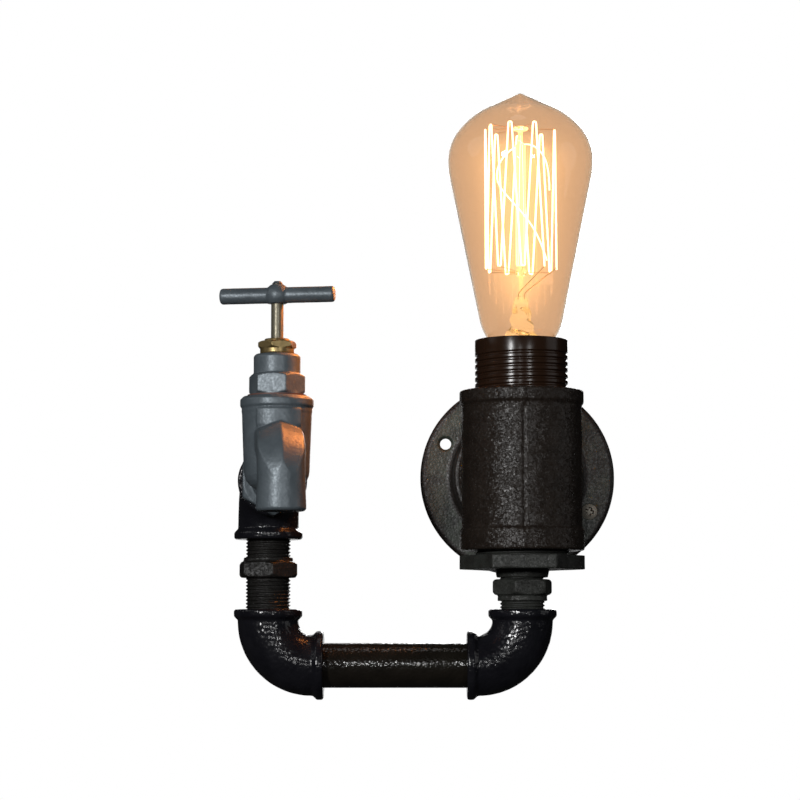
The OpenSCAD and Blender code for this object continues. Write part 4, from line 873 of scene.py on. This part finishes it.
def wireAlong(name, points, radius, sides=10):
    # round wire through given points, eased between them
    curve = bpy.data.curves.new(name, "CURVE")
    curve.dimensions = "3D"
    curve.bevel_depth = radius
    curve.bevel_resolution = (sides - 4) // 2
    curve.use_fill_caps = True
    spline = curve.splines.new("NURBS")
    spline.points.add(len(points) - 1)
    for spot, point in zip(spline.points, points):
        spot.co = (*point, 1)
    spline.order_u = 4
    spline.use_endpoint_u = True
    spline.resolution_u = 8
    return smooth(evaluatedMesh(linked(name, curve)))


def onCage(angle, radius, height):
    return around(bulbCentre, radius, math.radians(angle), height)


def turnAngle(i):
    return cage["turn"] + 360 * i / (cage["steps"] + 2)


zigzag = grownMesh("filamentCage", makeCageTree(), **{

    "Steps": cage["steps"], "Radius": cage["radius"], "Low": cage["low"], "High": cage["top"],
    "Axis Y": bulbCentre[1], "Turn": math.radians(cage["turn"]), "Hook Turn": math.radians(cage["hookTurn"]),
    "Wire Radius": cage["wire"] / 2, "Seed": 4.0, "Material": filamentGlow})
# one loose strand loops inside the cage: angle round the axis, radius and height in mm
looseStrand = [(2, 15.0, 146), (8, 15.2, 158), (32, 14.4, 168), (70, 13.0, 174), (112, 12.6, 170),
               (150, 12.8, 162), (185, 13.2, 152), (222, 13.2, 144), (256, 13.2, 136), (286, 13.4, 128),
               (312, 14.0, 119), (330, 15.0, 108)]
strand = wireAlong("looseStrand", [onCage(a, r * mm, z * mm) for a, r, z in looseStrand], cage["wire"] * 0.4)
newPiece("filamentCage", smooth(joinMeshes("filamentCage", zigzag, strand)), filamentGlow,
         "bulb", "filament_wire", "filament")

# Supports: a fine wire from the rod to each turn, hooked round it. Its spots are past the cage's
# radius and from the ring's height toward the other ring, in mm.
hook = {"wire": 0.16 * mm, "spots": ((-3, -0.4), (-0.9, -0.2), (0.2, -0.9), (0.8, 0.3))}
supports = []
for i in range(1, cage["steps"]):
    upper = i % 2
    z, way, hub = (cage["top"], -1, stem["button"]) if upper else (cage["low"], 1, stem["bead"])
    spots = [(hub - 0.8 * mm, z - (0 if upper else 1.4 * mm))]
    spots += [(cage["radius"] + out * mm, z + way * along * mm) for out, along in hook["spots"]]
    supports.append(wireAlong("support", [onCage(turnAngle(i), r, h) for r, h in spots], hook["wire"], 8))
newPiece("filamentHooks", smooth(joinMeshes("filamentHooks", *supports)), supportWire,
         "bulb", "support_wire", "filament_supports")

leadWire = 0.24 * mm
leads = []
for i, x in ((0, 1.6), (cage["steps"], -1.4)):
    foot, knee = [(bulbCentre[0] + x * mm, bulbCentre[1], pressZ + rise * mm) for rise in (-1, 2.2)]
    end = onCage(turnAngle(i), cage["radius"], cage["low"] + 0.6 * mm)
    leads.append(wireAlong("lead", [foot, knee, knee, end, end], leadWire, 8))
newPiece("leadInWires", smooth(joinMeshes("leadInWires", *leads)), supportWire,
         "bulb", "support_wire", "leadin_wires")
print("pipe wall light: bulb made")


# Bulb cap: rolled thread in thin metal, closed inside by the glass
cap = {
    "radius": 13.2 * mm, "wall": 0.5 * mm, "foot": 8 * mm,
    "thread": {"pitch": 3.62 * mm, "depth": 0.9 * mm, "perPitch": 18, "fade": 1.2 * mm,
               "shape": {"Crest End": 0.02, "Root Start": 0.5, "Root End": 0.5, "Crest Start": 0.98}},
}
centre, low, high = axisOf("bulb_cap")
liner = cap["radius"] - cap["thread"]["depth"] - cap["wall"]
profile = [(cap["radius"], high), (cap["radius"] - cap["wall"], high), (liner, high - 3 * mm),
           (liner, low + 1.4 * mm), (cap["foot"], low + cap["wall"]), (cap["foot"], low),
           (cap["radius"] - 0.4 * mm, low + 0.3 * mm)]
tube = threadedTube("bulbCap", centre, cap["radius"], profile, low + 0.8 * mm, high - 2 * mm,
                    cap["thread"], capMetal, steps=112)
newPiece("bulbCap", smooth(tube, 45), capMetal, "bulb", "cap_metal", "bulb_cap")


# Wall screw in the lower right hole: countersunk head with a cross recess, cut off at the wall
screw = {"circle": 42.5 * mm, "turn": -25.4, "head": 4.2 * mm, "shank": 2.3 * mm, "cone": 2.4 * mm,
         "face": 5.0 * mm, "dome": 0.55 * mm, "arm": 2.5 * mm, "armWidth": 0.8 * mm, "recess": 1.9 * mm,
         "crossTurn": -14, "rows": 26}
outline = [(0.0, 0.0), (screw["shank"], 0.0), (screw["shank"], screw["face"] - screw["cone"]),
           (screw["head"] - 0.15 * mm, screw["face"] - 0.25 * mm), (screw["head"], screw["face"])]
for i in range(1, screw["rows"]):
    r = screw["head"] * (1 - i / screw["rows"])
    outline.append((r, screw["face"] + screw["dome"] * (1 - (r / screw["head"]) ** 2)))
outline.append((0.0, screw["face"] + screw["dome"]))
built = turned(outline, (0, 0))
crossTurn = math.radians(screw["crossTurn"])
ca, sa = math.cos(crossTurn), math.sin(crossTurn)


def eased(value, start, end):
    t = held((value - start) / (end - start))
    return t * t * (3 - 2 * t)


for vertex in built.verts:
    if vertex.co.z < screw["face"] - 0.01 * mm:
        continue
    u, v = vertex.co.x * ca + vertex.co.y * sa, vertex.co.y * ca - vertex.co.x * sa

    arms = [(1 - eased(abs(a), screw["armWidth"] * 0.7, screw["armWidth"] * 1.3))
            * (1 - eased(abs(b), screw["arm"] * 0.8, screw["arm"])) for a, b in ((u, v), (v, u))]
    vertex.co.z -= screw["recess"] * max(arms)
mesh = smooth(asMesh("wallScrew", built), 40)
a = math.radians(screw["turn"])
mesh.transform(Matrix.Translation((screw["circle"] * math.cos(a), 0, screw["circle"] * math.sin(a)))
               @ Matrix.Rotation(math.radians(90), 4, "X"))
newPiece("wallScrew", mesh, screwSteel, "fixture", "tinned")
print("pipe wall light: cap and wall screw made")


# Studio: white room seen by the camera, in gloss and through glass; a small floor; a dark card all
# round but for a gap behind, with a sheet under it and a roof, that keeps the blacks deep; soft lamps
studio = {"floorRadius": 0.75, "floorDrop": 0.30, "paper": (0.6, 0.6, 0.6), "paperGlow": 0.72, "room": 0.2,
          "cardRadius": 1.95, "cardHalfAngle": 166, "cardTop": 1.7, "cardTone": (0.03, 0.03, 0.03),
          "wallShare": 0.6, "roofReach": 0.1, "sheetGap": 0.02, "cardSteps": 48}
middle = (cadBox[0] + cadBox[1]) / 2
floorZ = cadBox[0].z - studio["floorDrop"]


def seenByEye(tree):
    # 1 for what the camera sees, straight, mirrored or through glass
    path = addNode(tree, "ShaderNodeLightPath").outputs
    seen = math2(tree, "MAXIMUM", path["Is Camera Ray"], path["Is Glossy Ray"])
    return math2(tree, "MAXIMUM", seen, path["Is Transmission Ray"])


floorMesh = bmesh.new()
bmesh.ops.create_circle(floorMesh, cap_ends=True, radius=studio["floorRadius"], segments=96,
                        matrix=Matrix.Translation((middle.x, middle.y, floorZ)))
paperMaterial, paperTree, paperShader = newMaterial("paper", Roughness=0.9)
paperGrain = mottled(paperTree, 0.3, 2 * mm, 0.2)
paperTree.links.new(mixColours(paperTree, paperGrain["Mask"], studio["paper"],
                               [c * 0.98 for c in studio["paper"]]), paperShader.inputs["Base Color"])
glow = addNode(paperTree, "ShaderNodeEmission", {
    "Color": (1, 1, 1, 1), "Strength": times(paperTree, seenByEye(paperTree), studio["paperGlow"])})
both = addNode(paperTree, "ShaderNodeAddShader", {0: paperShader.outputs[0], 1: glow.outputs[0]})
paperTree.links.new(both.outputs[0], paperTree.nodes["Material Output"].inputs["Surface"])
newPiece("floor", asMesh("floor", floorMesh), paperMaterial)

card = bmesh.new()
circle = [2 * math.pi * i / studio["cardSteps"] for i in range(studio["cardSteps"])]
cardLow, wallTop = floorZ + studio["sheetGap"], studio["cardTop"] * studio["wallShare"]
card.faces.new([card.verts.new(around(middle, studio["cardRadius"], a, cardLow)) for a in circle])
wall = []
for i in range(studio["cardSteps"] // 2 + 1):
    a = math.radians(studio["cardHalfAngle"] * (i / (studio["cardSteps"] // 4) - 1))
    wall.append([card.verts.new((middle.x + studio["cardRadius"] * math.sin(a),
                                 middle.y - studio["cardRadius"] * math.cos(a), z))
                 for z in (cardLow, wallTop)])
for a, b in zip(wall, wall[1:]):
    card.faces.new((a[0], b[0], b[1], a[1]))
roof = [[card.verts.new(around(middle, studio["cardRadius"] * r, a, z))
         for r, z in ((1.0, wallTop), (studio["roofReach"], studio["cardTop"]))] for a in circle]
for a, b in zip(roof, roof[1:] + roof[:1]):
    card.faces.new((a[0], b[0], b[1], a[1]))
cardMaterial = plainMaterial("darkCloth", studio["cardTone"], 0.9, specular=0.0)
cardObject = newPiece("card", smooth(asMesh("card", card)), cardMaterial)
cardObject.visible_camera = False
cardObject.visible_transmission = False
cardObject.visible_shadow = False

world = bpy.data.worlds.new("room")
scene.world = world
world.use_nodes = True
room = world.node_tree
background = room.nodes["Background"]
background.inputs["Color"].default_value = (1, 1, 1, 1)
strength = addNode(room, "ShaderNodeMapRange", {"Value": seenByEye(room), 3: studio["room"], 4: 1.0})
room.links.new(strength.outputs[0], background.inputs["Strength"])


def addLamp(name, kind, watts, size, place, away=None):
    light = bpy.data.lights.new(name, kind)
    light.energy = watts
    if kind == "AREA":
        light.shape, light.size = "DISK", size
    else:
        light.shadow_soft_size = size
    lamp = linked(name, light)
    lamp.location = place
    if away:
        lamp.rotation_euler = away.to_track_quat("Z", "Y").to_euler()
    lamp.visible_camera = False
    lamp.visible_transmission = False
    return lamp


lamps = {
    # azimuth (left is negative), elevation, distance, size, watts
    "keyLamp": (-27, 7, 1.7, 0.24, 17.5),
    "rightLamp": (20, 4, 1.7, 0.12, 4),
    "pipeLamp": (-4, 3, 1.7, 0.06, 2.2),
    "farLamp": (80, 12, 1.6, 0.9, 1.8),
    "sideLamp": (-80, 25, 1.6, 0.9, 2),
    "topLamp": (150, 62, 1.6, 0.9, 8),
    "backLamp": (172, 14, 1.6, 0.5, 5),
}
for name, (azimuth, elevation, distance, size, watts) in lamps.items():
    a, e = math.radians(azimuth), math.radians(elevation)
    away = Vector((math.sin(a) * math.cos(e), -math.cos(a) * math.cos(e), math.sin(e)))
    lamp = addLamp(name, "AREA", watts, size, middle + away * distance, away)
    lamp.visible_glossy = name != "topLamp"

# the filament's own light, a little all round and most of it toward the tap: it goes up with the
# bulb, and isn't mirrored in its own glass
clearGlass = bpy.data.collections.new("clearGlass")
clearGlass.objects.link(bulbPiece)
clearGlass.collection_objects[0].light_linking.link_state = "EXCLUDE"
bulbLamps = {
    # watts, size, shift toward the tap, direction away from what it lights
    "bulbLamp": ("POINT", 0.32, 0.016, 0, None),
    "tapGlow": ("AREA", 1.5, 0.045, 14 * mm, Vector((1, 0.3, 0))),
}
for name, (kind, watts, size, shift, away) in bulbLamps.items():
    lamp = addLamp(name, kind, watts, size,
                   (bulbCentre[0] - shift, bulbCentre[1], (cage["low"] + cage["top"]) / 2), away)
    lamp.data.color = (1.0, 0.36, 0.08)
    lamp.parent = bulbPiece
    lamp.light_linking.receiver_collection = clearGlass
print("pipe wall light: studio ready")
